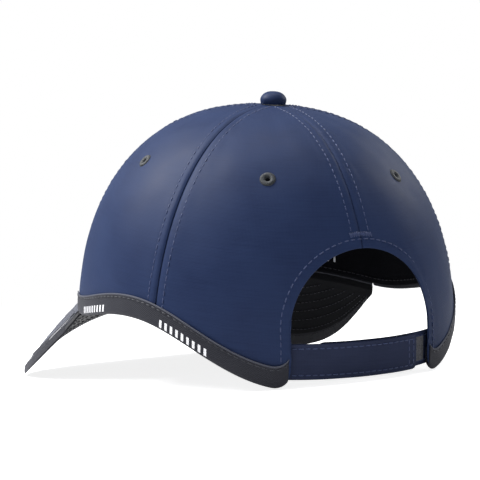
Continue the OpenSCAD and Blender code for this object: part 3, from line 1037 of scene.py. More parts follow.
@dataclass(frozen=True)
class Moulded(Finish):
    """Injection-moulded plastic or rubber: even colour, a fine spark-eroded grain and soft gloss."""

    name: str = "moulded_rubber_black"
    colour: str = "#17181D"
    roughness: float = 0.5
    grain_mm: float = 0.3
    grain: float = 0.15

    def weave(self, tree: bpy.types.NodeTree, shader: bpy.types.Node) -> None:
        """Adds the grain and faint smears of gloss."""
        place = add_node(tree, "TexCoord")
        fine = add_node(
            tree, "TexNoise", {"Vector": place.outputs["Object"], "Scale": 1 / (self.grain_mm * MM)}
        )
        broad = add_node(tree, "TexNoise", {"Vector": place.outputs["Object"], "Scale": 60.0})
        light = tuple(min(1.0, c * 1.35) for c in linear(self.colour)[:3]) + (1.0,)
        tone = add_node(
            tree, "Mix", {0: broad, 6: linear(self.colour), 7: light}, data_type="RGBA"
        )
        rough = add_node(
            tree, "MapRange", {0: broad, 3: self.roughness - 0.08, 4: self.roughness + 0.08}
        )
        bump = add_node(
            tree, "Bump", {"Height": fine, "Strength": self.grain, "Distance": 0.0001}
        )
        set_inputs(shader, {"Base Color": tone.outputs[2], "Roughness": rough, "Normal": bump})


@dataclass(frozen=True)
class PressedSteel(Finish):
    """Nickel-plated pressed steel: bright, with fine draw marks from the press round the cup."""

    name: str = "nickel_plated_steel"
    colour: str = "#B9B6AE"

    def weave(self, tree: bpy.types.NodeTree, shader: bpy.types.Node) -> None:
        """Adds draw marks and uneven polish."""
        place = add_node(tree, "TexCoord")
        drawn = add_node(tree, "Mapping", {"Vector": place.outputs["Object"], "Scale": (200, 200, 4000)})
        marks = add_node(tree, "TexNoise", {"Vector": drawn, "Scale": 1.0, "Detail": 2.0})
        rough = add_node(tree, "MapRange", {0: marks, 3: 0.2, 4: 0.38})
        bump = add_node(tree, "Bump", {"Height": marks, "Strength": 0.1, "Distance": 0.0001})
        set_inputs(
            shader,
            {
                "Base Color": linear(self.colour),
                "Metallic": 1.0,
                "Roughness": rough,
                "Normal": bump,
            },
        )


@dataclass(frozen=True)
class Pile(Finish):
    """Nylon hook-and-loop tape: a dull tangled face that scatters light like felt."""

    name: str = "nylon_loop_pile"
    colour: str = "#4A4B52"
    dark: str = "#2A2B31"

    def weave(self, tree: bpy.types.NodeTree, shader: bpy.types.Node) -> None:
        """Adds the tangle."""
        place = add_node(tree, "TexCoord")
        tangle = add_node(
            tree, "TexNoise", {"Vector": place.outputs["Object"], "Scale": 1500.0, "Detail": 4.0}
        )
        ramp = add_node(tree, "ValToRGB", {0: tangle})
        ramp.color_ramp.elements[0].position = 0.35
        ramp.color_ramp.elements[0].color = linear(self.dark)
        ramp.color_ramp.elements[1].position = 0.65
        ramp.color_ramp.elements[1].color = linear(self.colour)
        bump = add_node(tree, "Bump", {"Height": tangle, "Strength": 0.6, "Distance": 0.0003})
        set_inputs(shader, {"Base Color": ramp, "Normal": bump, "Roughness": 0.75, "Sheen Weight": 0.4})


NAVY_CLOTH = WovenCloth()
PEAK_CLOTH = WovenCloth(
    name="woven_polyester_dark_grey",
    colour="#30333F",
    shade="#22252F",
    sheen_colour="#E3E6F2",
    sheen=0.3,
    gloss=0.5,
)
# The under cover's near-black is painted shade, for the shadow under the peak.
UNDER_CLOTH = WovenCloth(
    name="woven_polyester_black", colour="#101116", shade="#0A0B0F", sheen=0.02, gloss=0.08
)
STRAP_CLOTH = WovenCloth(
    name="woven_polyester_strap", colour="#252C44", shade="#1B2238", sheen=0.04, gloss=0.1
)
RIM_TAPE = TwillTape()
# Same tape as the rim's, painted lighter: painted light for the brighter-lit edge of the peak.
PEAK_TAPE = TwillTape(
    name="twill_tape_peak_painted_light",
    colour="#2E2F36",
    edge_highlight_mm=0.0,
    bars_from_mm=3.4,
    bars_to_mm=6.8,
    group_start_mm=8.0,
)
# The lining tapes' dark charcoal is partly painted shade, for the shaded inside of the crown.
SEAM_TAPE = TwillTape(
    name="twill_tape_lining_painted_shade", colour="#22252F", rib="#15171E", edge_highlight_colour="#2B2E38", bars=False
)
NAVY_THREAD = SpunThread()
DARK_THREAD = SpunThread(name="polyester_thread_dark", colour="#2B2D36")
EYELET_THREAD = SpunThread(name="embroidery_thread_grey", colour="#2B2F33", twist_mm=0.35)
PEAK_THREAD = SpunThread(name="polyester_thread_grey", colour="#3A3C46")
KNIT = Knit()
BADGE_RUBBER = Moulded()
BOARD_PLASTIC = Moulded(name="moulded_polyethylene_black", colour="#1B1C21", roughness=0.45)
# The stiffener's dark charcoal is painted shade, for the shaded inside of the crown.
STIFFENER = Knit(name="stiffened_mesh_dark_painted_shade", colour="#20232C", valley="#101218", loop_mm=1.4)
STEEL = PressedSteel()
LOOP_PILE = Pile()
HOOK_PILE = Pile(name="nylon_hook_tape", colour="#34353B", dark="#1B1C20")


# ---------------------------------------------------------------- crown


SEAM_NAMES = {
    0.0: "front",
    60.0: "front_left",
    -60.0: "front_right",
    120.0: "back_left",
    -120.0: "back_right",
    180.0: "back",
}


def spread(first: float, last: float, dense: tuple, middle: int) -> Array:
    """Returns positions that lie closer together at both ends.

    Args:
        first: First position.
        last: Last position.
        dense: Distances from each end of the close positions.
        middle: Number of equal steps between them.

    Returns:
        The positions in order.
    """
    low = first + np.array(dense)
    high = last - np.array(dense)[::-1]
    return np.concatenate([low, np.linspace(low[-1], high[0], middle + 1)[1:-1], high])


@dataclass
class Crown:
    """The six panels with their seams, linings and eyelets."""

    shop: Workshop
    thread: Thread
    form: CrownForm = field(default_factory=CrownForm)
    cloth: float = 0.5
    lining_inset: float = 1.25
    lining: float = 0.4
    tape_width: float = 11.0
    top_hole: float = 2.2
    eyelet_hole: float = 1.25
    eyelet_room: float = 4.0
    dense: tuple = (0.02, 0.3, 0.65, 1.1, 1.7, 2.3, 2.9, 3.7, 5.2, 7.4)
    binding_height: float = 8.5

    @property
    def top(self) -> float:
        """Rise of the panels' tips."""
        return self.form.rise_at(self.top_hole / (self.form.width / 2))

    def flat(self, azimuth: Array, rise: Array, middle: float) -> Array:
        """Returns the cloth's own flat coordinates, in metres, from a panel's middle line."""
        across = (azimuth - middle) * self.form.degree(azimuth, rise)
        return np.stack([across, self.form.climb(azimuth, rise)], -1) * MM

    def plain_grid(self, first: float, last: float) -> tuple:
        """Returns azimuths and rises of a whole panel, rows by columns."""
        azimuths = spread(first, last, self.dense, 16)
        low = self.form.rim(azimuths) / self.form.height
        share = easing(38)[:, None]
        rises = low + (self.top - low) * share
        return np.broadcast_to(azimuths, rises.shape), rises

    def edge_path(self) -> tuple:
        """Returns the lower edge of a back panel: rim, rounded corner, upright side and arch.

        Returns:
            Azimuths and rises along the edge, from the side seam to the middle of the back.
        """
        form = self.form
        half = form.opening_width / 2
        along_rim = np.linspace(120.02, form.corner_azimuth - 6, 16)
        bend = np.linspace(form.corner_azimuth - 6, form.corner_azimuth - 0.15, 10)[1:]
        azimuth = np.concatenate([along_rim, bend])
        rise = form.rim(azimuth) / form.height
        side_z = np.linspace(form.rim_corner + form.corner_radius, form.opening_side, 7)
        theta = np.radians(np.concatenate([np.linspace(0, 80, 19)[1:], [82.5, 85, 87, 88.5, 89.3, 89.96]]))
        x = np.concatenate([np.full(7, half), half * np.cos(theta)])
        z = np.concatenate([side_z, form.opening_side + form.opening_arch * np.sin(theta)])
        w = z / form.height
        up = 180 - np.degrees(np.arcsin(np.clip(x / (form.width / 2 * form.girth(w)), -1, 1)))
        return np.concatenate([azimuth, up]), np.concatenate([rise, w])

    def back_grid(self, side: Side) -> tuple:
        """Returns azimuths and rises of a back panel, whose columns start on its lower edge."""
        azimuth, rise = self.edge_path()
        points = self.form.point(azimuth, rise)
        run = running_length(points)
        run = run / run[-1]
        head = 120.02 + 59.96 * run
        close = [0, 0.006, 0.013, 0.022, 0.032, 0.043, 0.056, 0.075]
        steps = np.concatenate([close, np.linspace(0.1, 1, 32)])
        share = steps[:, None]
        azimuths = azimuth + (head - azimuth) * share**1.2
        rises = rise + (self.top - rise) * np.sin(share * math.pi / 2)
        if side is Side.RIGHT:
            return -azimuths[:, ::-1], rises[:, ::-1]
        return azimuths, rises

    def panel(self, node: str, azimuths: Array, rises: Array, middle: float) -> None:
        """Makes one panel with its eyelet hole.

        Args:
            node: Name of the CAD node that it stands for.
            azimuths: Azimuths of the grid.
            rises: Rises of the grid.
            middle: Azimuth of the panel's middle.
        """
        form = self.form
        grid = form.place(form.surface(azimuths, rises))
        piece = cloth_grid(node + "_cloth", grid, self.flat(azimuths, rises, middle))
        thicken(piece, self.cloth, Facing.INWARD)
        self.punch(piece, middle, self.eyelet_hole, 8, 20)
        self.shop.hand_over(piece, NAVY_CLOTH, "cap_cloth", replaces=(node,))
        self.shop.declare(piece, grid)

    def eyelet_frame(self, azimuth: float) -> tuple:
        """Returns an eyelet's place in metres and its outward direction."""
        form = self.form
        at = form.place(form.surface(azimuth, form.eyelet_rise))
        out = form.turn(form.normal(azimuth, form.eyelet_rise))
        return Vector(at.ravel()), Vector(out.ravel())

    def punch(
        self, piece: bpy.types.Object, azimuth: float, radius: float, depth: float, sides: int
    ) -> None:
        """Cuts a round hole through a piece where an eyelet goes.

        Args:
            piece: The panel or stiffener.
            azimuth: Azimuth of the eyelet.
            radius: Radius of the hole.
            depth: Depth of the cut, both ways together.
            sides: Number of the hole's sides.
        """
        at, out = self.eyelet_frame(azimuth)
        bpy.ops.object.select_all(action="DESELECT")
        bpy.ops.mesh.primitive_cylinder_add(
            vertices=sides, radius=radius * MM, depth=depth * MM, location=at
        )
        drill = bpy.context.object
        drill.rotation_mode = "QUATERNION"
        drill.rotation_quaternion = out.to_track_quat("Z", "Y")
        bpy.context.view_layer.update()
        finish_modifier(piece, "BOOLEAN", operation="DIFFERENCE", object=drill, solver="EXACT")
        bpy.data.objects.remove(drill)

    def build_panels(self) -> None:
        """Makes the six panels."""
        for side in Side:
            s = side.value
            for word, first in (("front", 0.0), ("side", 60.0)):
                low, high = sorted((s * first, s * (first + 60)))
                azimuths, rises = self.plain_grid(low, high)
                self.panel(f"{word}_{side.word}_panel", azimuths, rises, s * (first + 30))
            azimuths, rises = self.back_grid(side)
            self.panel(f"back_{side.word}_panel", azimuths, rises, s * 150.0)

    def seam_line(self, azimuth: float, offset: float, low: float, lift: float) -> tuple:
        """Returns a needle row beside a seam.

        Args:
            azimuth: Azimuth of the seam.
            offset: Distance from the seam, with its sign.
            low: Rise where the row starts.
            lift: Height over the cloth.

        Returns:
            Points in metres and outward directions.
        """
        high = self.form.rise_at(9.5 / (self.form.width / 2))
        rises = low + (high - low) * easing(60)
        azimuths = azimuth + offset / self.form.degree(azimuth, rises)
        line = self.form.place(self.form.surface(azimuths, rises, lift))
        return line, self.form.turn(self.form.normal(azimuths, rises))

    def sew_seams(self) -> None:
        """Lays a needle row on each side of every seam."""
        form = self.form
        for azimuth in form.seams:
            low = (float(form.rim(azimuth)) + 6) / form.height
            if azimuth == 180.0:
                low = (form.opening_side + form.opening_arch + 6) / form.height
            lines = [self.seam_line(azimuth, w * form.stitch_offset, low, 0.05) for w in (1, -1)]
            piece = self.thread.rows(SEAM_NAMES[azimuth] + "_seam_stitching", lines)
            self.shop.hand_over(piece, NAVY_THREAD, "cap_cloth")

    def build_linings(self) -> None:
        """Makes the seam tapes and the front stiffeners."""
        form = self.form
        for azimuth in form.seams:
            low = (max(form.rim_front, form.rim_side) + 9) / form.height
            if azimuth == 180.0:
                low = (form.opening_side + form.opening_arch + 11) / form.height
            high = form.rise_at(8.2 / (form.width / 2))
            rises = (low + (high - low) * easing(40))[:, None]
            across = np.linspace(-1, 1, 9) * self.tape_width / 2
            swing = np.clip(across / form.degree(azimuth, rises), -27, 27)
            azimuths = azimuth + swing
            rises = np.broadcast_to(rises, azimuths.shape)
            wrinkle = 0.08 * ripple(across * 3, form.climb(azimuths, rises), 7.0, azimuth)
            inset = self.lining_inset + 0.1 - 0.12 * bell(across, 0, 2.2) + wrinkle
            points = form.point(azimuths, rises) - form.normal(azimuths, rises) * inset[..., None]
            grid = form.place(points)
            maps = np.stack(np.broadcast_arrays(form.climb(azimuths, rises), across + 5.5), -1) * MM
            node = SEAM_NAMES[azimuth] + "_seam_tape"
            piece = cloth_grid(node + "_twill", grid, maps)
            thicken(piece, self.lining, Facing.INWARD)
            self.shop.hand_over(piece, SEAM_TAPE, "lining_tape", replaces=(node,))
            self.shop.declare(piece, grid)
            inner = self.lining_inset + self.lining + 0.12
            line = [self.inner_row(azimuth, w * 4.2, low + 0.01, high - 0.004, inner) for w in (1, -1)]
            sewn = self.thread.rows(node + "_stitching", line)
            self.shop.hand_over(sewn, DARK_THREAD, "lining_tape")
        for side in Side:
            self.stiffener(side)

    def inner_row(self, azimuth: float, offset: float, low: float, high: float, inset: float) -> tuple:
        """Returns a needle row on the inside of a seam tape."""
        form = self.form
        rises = low + (high - low) * easing(50)
        azimuths = azimuth + np.clip(offset / form.degree(azimuth, rises), -22, 22)
        normal = form.normal(azimuths, rises)
        return form.place(form.point(azimuths, rises) - normal * inset), -form.turn(normal)

    def stiffener(self, side: Side) -> None:
        """Makes the stiffened mesh inside a front panel."""
        form = self.form
        low_az, high_az = sorted((side.value * 7.8, side.value * 52.2))
        azimuths = np.linspace(low_az, high_az, 22)
        low = (form.rim(azimuths) + self.binding_height + 2) / form.height
        rises = low + (0.9 - low) * easing(24)[:, None]
        azimuths = np.broadcast_to(azimuths, rises.shape)
        off = form.relief(azimuths, rises) - 0.72
        points = form.point(azimuths, rises) + form.normal(azimuths, rises) * off[..., None]
        grid = form.place(points)
        maps = self.flat(azimuths, rises, side.value * 30)
        piece = cloth_grid(f"front_{side.word}_stiffener_mesh", grid, maps)
        thicken(piece, self.lining, Facing.INWARD)
        self.punch(piece, side.value * 30.0, self.eyelet_room, 10, 32)
        self.shop.hand_over(piece, STIFFENER, "stiffener_mesh", replaces=(f"front_{side.word}_stiffener",))
        self.shop.declare(piece, grid)


@dataclass
class Eyelets:
    """Worked eyelets: radial threads over a cord ring, on both faces of the cloth."""

    shop: Workshop
    crown: Crown
    bore: float = 0.95
    outer: float = 3.5
    threads: int = 46
    thread_radius: float = 0.26

    def strand(self) -> Thread:
        """Models one thread that arches from the bore over the ring to the cloth."""
        strand = Thread(radius=self.thread_radius, length=self.outer - self.bore)
        strand.model()
        reach = strand.points[:, 0] / (strand.length * MM) * 2
        strand.points[:, 2] += (0.55 - 0.75 * np.abs(reach) ** 2.2) * MM
        return strand

    def build(self) -> None:
        """Makes the six eyelets."""
        strand = self.strand()
        form = self.crown.form
        nodes = {30.0: "front_left", 90.0: "side_left", 150.0: "back_left"}
        for azimuth in form.eyelet_azimuths:
            name = nodes.get(azimuth) or nodes[-azimuth].replace("left", "right")
            at, out = self.crown.eyelet_frame(azimuth)
            turn = out.to_track_quat("Z", "Y").to_matrix()
            angles = np.linspace(0, 2 * math.pi, self.threads, endpoint=False)
            flat = np.stack([np.cos(angles), np.sin(angles), 0 * angles], -1)
            along = flat @ np.array(turn).T
            up = np.broadcast_to(np.array(out), along.shape)
            middle = (self.bore + self.outer) / 2 * MM
            spots = np.array(at) + along * middle
            inner = np.array(at) - np.array(out) * 0.75 * MM + along * middle
            piece = strand.lay(
                name + "_worked_eyelet",
                np.concatenate([spots, inner]),
                np.concatenate([along, along]),
                np.concatenate([up, -up]),
            )
            self.add_cord(piece, at, out)
            self.shop.hand_over(piece, EYELET_THREAD, "eyelet_thread", replaces=(name + "_eyelet",))

    def add_cord(self, piece: bpy.types.Object, at: Vector, out: Vector) -> None:
        """Adds the cord ring under the threads."""
        bpy.ops.object.select_all(action="DESELECT")
        bpy.ops.mesh.primitive_torus_add(
            major_segments=32,
            minor_segments=8,
            major_radius=(self.bore + self.outer) / 2 * MM,
            minor_radius=(self.outer - self.bore) / 2 * 0.94 * MM,
        )
        ring = bpy.context.object
        bpy.ops.object.mode_set(mode="EDIT")
        bpy.ops.mesh.select_all(action="SELECT")
        bpy.ops.transform.resize(value=(1, 1, 0.72))
        bpy.ops.object.mode_set(mode="OBJECT")
        turn = out.to_track_quat("Z", "Y").to_matrix().to_4x4()
        ring.data.transform(Matrix.Translation(at - out * 0.3 * MM) @ turn)
        bpy.ops.object.shade_smooth()
        only(piece)
        ring.select_set(True)
        bpy.ops.object.join()


@dataclass
class Button:
    """The covered button on top: cloth gathered over a pressed cup."""

    shop: Workshop
    form: CrownForm = field(default_factory=CrownForm)
    diameter: float = 12.4
    height: float = 6.0
    pleats: int = 9

    def build(self) -> None:
        """Makes the cover and dresses the metal parts."""
        cover = self.cover()
        self.shop.hand_over(cover, NAVY_CLOTH, "cap_cloth", replaces=("button_cover",))
        for node in ("button_cup", "button_backplate"):
            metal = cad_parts[node]
            self.shop.dress(metal, STEEL)

    def cover(self) -> bpy.types.Object:
        """Models the cover from a cylinder: domed, bevelled, pleated at its skirt."""
        r = self.diameter / 2
        base = self.form.height + 0.2
        bpy.ops.object.select_all(action="DESELECT")
        bpy.ops.mesh.primitive_cylinder_add(vertices=72, radius=r * MM, depth=self.height * 0.5 * MM)
        piece = bpy.context.object
        piece.name = piece.data.name = "button_cloth_cover"
        bpy.ops.object.mode_set(mode="EDIT")
        bpy.ops.mesh.select_mode(type="FACE")
        self.pick_cap(piece, -1)
        bpy.ops.mesh.delete(type="ONLY_FACE")
        for _ in range(5):
            self.pick_cap(piece, 1)
            bpy.ops.mesh.inset(thickness=r * 0.16 * MM)
        bpy.ops.mesh.select_all(action="SELECT")
        bpy.ops.mesh.subdivide(number_cuts=1)
        bpy.ops.object.mode_set(mode="OBJECT")
        co = coordinates(piece) / MM
        flat = np.hypot(co[:, 0], co[:, 1]) / r
        turn = np.arctan2(co[:, 1], co[:, 0])
        share = (co[:, 2] + self.height * 0.25) / (self.height * 0.5)
        dome = self.height * np.sqrt(np.clip(1 - (flat * 0.93) ** 2.6, 0.02, 1))
        z = np.where(share > 0.99, dome, share * dome)
        skirt = (1 - smooth_step(0.0, 0.55, z / self.height)) * smooth_step(0.8, 1.0, flat)
        pull = 1 - 0.035 * skirt * (0.5 + 0.5 * np.cos(self.pleats * turn + np.sin(3 * turn)))
        pull = pull - 0.06 * bell(z / self.height, 0, 0.16)
        points = np.stack([co[:, 0] * pull, co[:, 1] * pull, z + base], -1)
        piece.data.vertices.foreach_set("co", self.form.place(points).astype(np.float32).ravel())
        piece.data.update()
        self.map_flat(piece, co)
        finish_modifier(piece, "SOLIDIFY", thickness=0.4 * MM, offset=-1.0)
        finish_modifier(piece, "SUBSURF", levels=1, render_levels=1)
        shade(piece, 60)
        return piece

    def pick_cap(self, piece: bpy.types.Object, way: int) -> None:
        """Selects the face that closes the top or the bottom."""
        bpy.ops.mesh.select_all(action="DESELECT")
        bpy.ops.object.mode_set(mode="OBJECT")
        cap = max(piece.data.polygons, key=lambda f: (len(f.vertices), way * f.center.z))
        cap.select = True
        bpy.ops.object.mode_set(mode="EDIT")

    def map_flat(self, piece: bpy.types.Object, co: Array) -> None:
        """Gives the cover flat coordinates, as a disc of cloth pulled over the cup."""
        mesh = piece.data
        layer = mesh.uv_layers.get(CLOTH_MAP) or mesh.uv_layers.new(name=CLOTH_MAP)
        corner = np.zeros(len(mesh.loops), np.int32)
        mesh.loops.foreach_get("vertex_index", corner)
        down = (self.height * 0.25 - co[:, 2]) / np.maximum(np.hypot(co[:, 0], co[:, 1]), 0.1)
        flat = co[:, :2] * (1 + down[:, None]) * MM
        layer.data.foreach_set("uv", flat[corner].ravel())
        mesh.uv_layers.active = layer


@dataclass
class BackOpening:
    """The facing and the stitching of the arched opening."""

    shop: Workshop
    thread: Thread
    form: CrownForm = field(default_factory=CrownForm)
    facing: float = 10.0
    stitch_in: float = 3.5

    def outline(self, grow: float, low: float, count: int = 90) -> Array:
        """Returns the opening's outline, grown by a margin.

        Args:
            grow: Distance outside the opening's edge.
            low: Height where both sides start.
            count: Number of points over the arch.

        Returns:
            Points as X and Z in millimetres, from the wearer's right to the left.
        """
        form = self.form
        half, arch = form.opening_width / 2 + grow, form.opening_arch + grow
        theta = np.linspace(math.pi, 0, count)
        over = np.stack([half * np.cos(theta), form.opening_side + arch * np.sin(theta)], -1)
        side = np.linspace(low, form.opening_side, 12)[:-1]
        left = np.stack([np.full(11, -half), side], -1)
        return np.concatenate([left, over, (left * (-1, 1))[::-1]])

    def on_crown(self, flat: Array) -> tuple:
        """Returns azimuths and rises on the crown's back from X and Z."""
        w = flat[..., 1] / self.form.height
        share = np.clip(flat[..., 0] / (self.form.width / 2 * self.form.girth(w)), -1, 1)
        return 180 - np.degrees(np.arcsin(share)), w

    def build(self) -> None:
        """Makes the facing, the hem's needle row and the bar of tight stitches over the seam."""
        form = self.form
        low = form.rim_corner + 10
        bands = [self.outline(g, low) for g in np.linspace(self.facing, 0.3, 9)]
        flat = np.stack(bands)
        azimuths, rises = self.on_crown(flat)
        off = form.relief(azimuths, rises) - 0.7
        normal = form.normal(azimuths, rises)
        grid = form.place(form.point(azimuths, rises) + normal * off[..., None])[:, ::-1]
        run = running_length(grid[4])
        across = np.linspace(0, self.facing, 9)[:, None] * MM
        maps = np.stack(np.broadcast_arrays(run[None], across), -1)
        grid, maps = grid[::-1], maps[::-1]
        piece = cloth_grid("opening_facing_cloth", grid, maps)
        thicken(piece, 0.45, Facing.INWARD)
        self.shop.hand_over(piece, STRAP_CLOTH, "lining_tape", replaces=("opening_facing",))
        self.shop.declare(piece, grid)
        self.sew()

    def sew(self) -> None:
        """Lays the hem's needle row and the bar over the seam."""
        form = self.form
        azimuths, rises = self.on_crown(self.outline(self.stitch_in, form.rim_corner + 9))
        line = form.place(form.surface(azimuths, rises, 0.05))
        out = form.turn(form.normal(azimuths, rises))
        piece = self.thread.rows("opening_hem_stitching", [(line, out)])
        self.shop.hand_over(piece, NAVY_THREAD, "cap_cloth")
        x = np.linspace(-5, 5, 26)
        top = form.opening_side + form.opening_arch + 5.4
        z = top - 0.02 * x**2 + 0.75 * np.where(np.arange(26) % 2, 1, -1)
        azimuths, rises = self.on_crown(np.stack([x, z], -1))
        knots = form.place(form.surface(azimuths, rises, 0.1))
        out = form.turn(form.normal(azimuths, rises))
        middle = (knots[1:] + knots[:-1]) / 2
        piece = self.thread.lay("opening_bar_tack", middle, knots[1:] - knots[:-1], out[1:])
        self.shop.hand_over(piece, NAVY_THREAD, "cap_cloth")


@dataclass
class RimBinding:
    """Twill tape folded over the rim from the peak's ends to the back corners."""

    shop: Workshop
    thread: Thread
    form: CrownForm = field(default_factory=CrownForm)
    height: float = 8.5
    thickness: float = 0.55

    def profile(self) -> Array:
        """Returns the tape's outer face in section: inset and height over the rim."""
        outer = [(-0.55, 8.5), (-0.85, 8.2), (-0.85, 7.7), (-0.62, 7.2), (-0.58, 6.0), (-0.62, 4.2)]
        fold = [(-0.6, 2.4), (-0.56, 0.9), (-0.4, 0.0), (0.0, -0.55), (0.55, -0.78), (1.1, -0.5), (1.5, 0.1)]
        inner = [(1.68, 1.2), (1.72, 3.5), (1.7, 6.0), (1.62, 7.4)]
        return np.array(outer + fold + inner)

    def build(self) -> None:
        """Makes both sides' tapes and their needle rows."""
        form = self.form
        profile = self.profile()
        width = running_length(profile)
        for side in Side:
            azimuths = np.concatenate(
                [
                    np.linspace(form.root_azimuth + 0.4, form.corner_azimuth - 8, 70),
                    np.linspace(form.corner_azimuth - 8, form.corner_azimuth - 0.6, 22)[1:],
                ]
            )
            if side is Side.RIGHT:
                azimuths = -azimuths[::-1]
            rim = form.rim(azimuths)
            inset, above = profile[:, :1], profile[:, 1:]
            rises = (rim + above) / form.height
            wave_out = 0.12 * ripple(azimuths * 1.5, above, 11.0, side.value)
            points = form.point(azimuths, rises, inset - wave_out * (inset < 0))
            grid = form.place(points)[::-1]
            length = running_length(grid[8])
            if side is Side.RIGHT:
                length = length[-1] - length
            maps = np.stack(np.broadcast_arrays(length[None], width[::-1, None] * MM), -1)
            node = f"rim_binding_{side.word}"
            piece = cloth_grid(node + "_tape", grid, maps)
            thicken(piece, self.thickness, Facing.INWARD)
            self.shop.hand_over(piece, RIM_TAPE, "binding_tape", replaces=(node,))
            self.shop.declare(piece, grid, "folded")
            w = (rim + 6.9) / form.height
            line = form.place(form.point(azimuths, w, -0.72))
            out = form.turn(form.normal(azimuths, w))
            sewn = self.thread.rows(node + "_stitching", [(line, out)])
            self.shop.hand_over(sewn, DARK_THREAD, "binding_tape")


@dataclass
class Sweatband:
    """The padded knit band inside the rim."""

    shop: Workshop
    thread: Thread
    form: CrownForm = field(default_factory=CrownForm)
    height: float = 30.0
    thickness: float = 1.5
    opening_gap: float = 11.0

    def build(self) -> None:
        """Makes the band, its needle row and its plain printed bars."""
        form = self.form
        half = form.opening_width / 2 + self.opening_gap
        last = 180 - math.degrees(math.asin(half / (form.width / 2)))
        azimuths = np.linspace(-last, last, 150)
        up = np.concatenate([[0, 0.8, 1.8], np.linspace(4, self.height - 4, 9), [28.2, 29.2, 30.0]])
        rises = (form.rim(azimuths) + 1.5 + up[:, None]) / form.height
        swell = np.sin(np.clip(up / self.height, 0, 1) * math.pi)[:, None] ** 0.5
        crease = 0.18 * ripple(azimuths * 1.5, up[:, None], 26.0, 7.0)
        inset = 1.95 + 0.35 * swell + crease * swell
        grid = form.place(form.point(azimuths, rises, inset))
        run = running_length(grid[7])
        maps = np.stack(np.broadcast_arrays(run[None], up[:, None] * MM), -1)
        piece = cloth_grid("sweatband_knit_band", grid, maps)
        thicken(piece, self.thickness, Facing.INWARD)
        self.shop.hand_over(piece, KNIT, "sweatband_knit", replaces=("sweatband",))
        self.shop.declare(piece, grid)
        lines = []
        for z in (3.0, self.height - 2.5):
            w = (form.rim(azimuths) + 1.5 + z) / form.height
            normal = form.normal(azimuths, w)
            lines.append((form.place(form.point(azimuths, w, 3.95)), -form.turn(normal)))
        sewn = self.thread.rows("sweatband_stitching", lines)
        self.shop.hand_over(sewn, DARK_THREAD, "sweatband_knit")
        self.mark(-50.0)

    def mark(self, middle: float) -> None:
        """Makes a group of plain pale bars, heat-set on the band's inner face.

        Args:
            middle: Azimuth of the group's middle.
        """
        form = self.form
        bars = []
        for step in np.arange(-2.5, 3.0) * 4.2:
            azimuth = middle + step / float(form.degree(middle, 0.1))
            bars.append(azimuth)
        bars = np.array(bars)
        w = (form.rim(bars) + 1.5 + 9.0) / form.height
        normal = form.normal(bars, w)
        spots = form.place(form.point(bars, w, 4.12))
        up = form.point(bars, w + 0.01) - form.point(bars, w)
        bar = Thread(radius=0.62, length=3.6, sides=8)
        bar.model()
        bar.points[:, 2] *= 0.3
        piece = bar.lay("sweatband_bars", spots, form.turn(up), -form.turn(normal))
        self.shop.hand_over(piece, PRINT, "sweatband_knit")


PRINT = Moulded(name="heat_set_print_white", colour="#D8D9DE", roughness=0.6)


# ---------------------------------------------------------------- peak


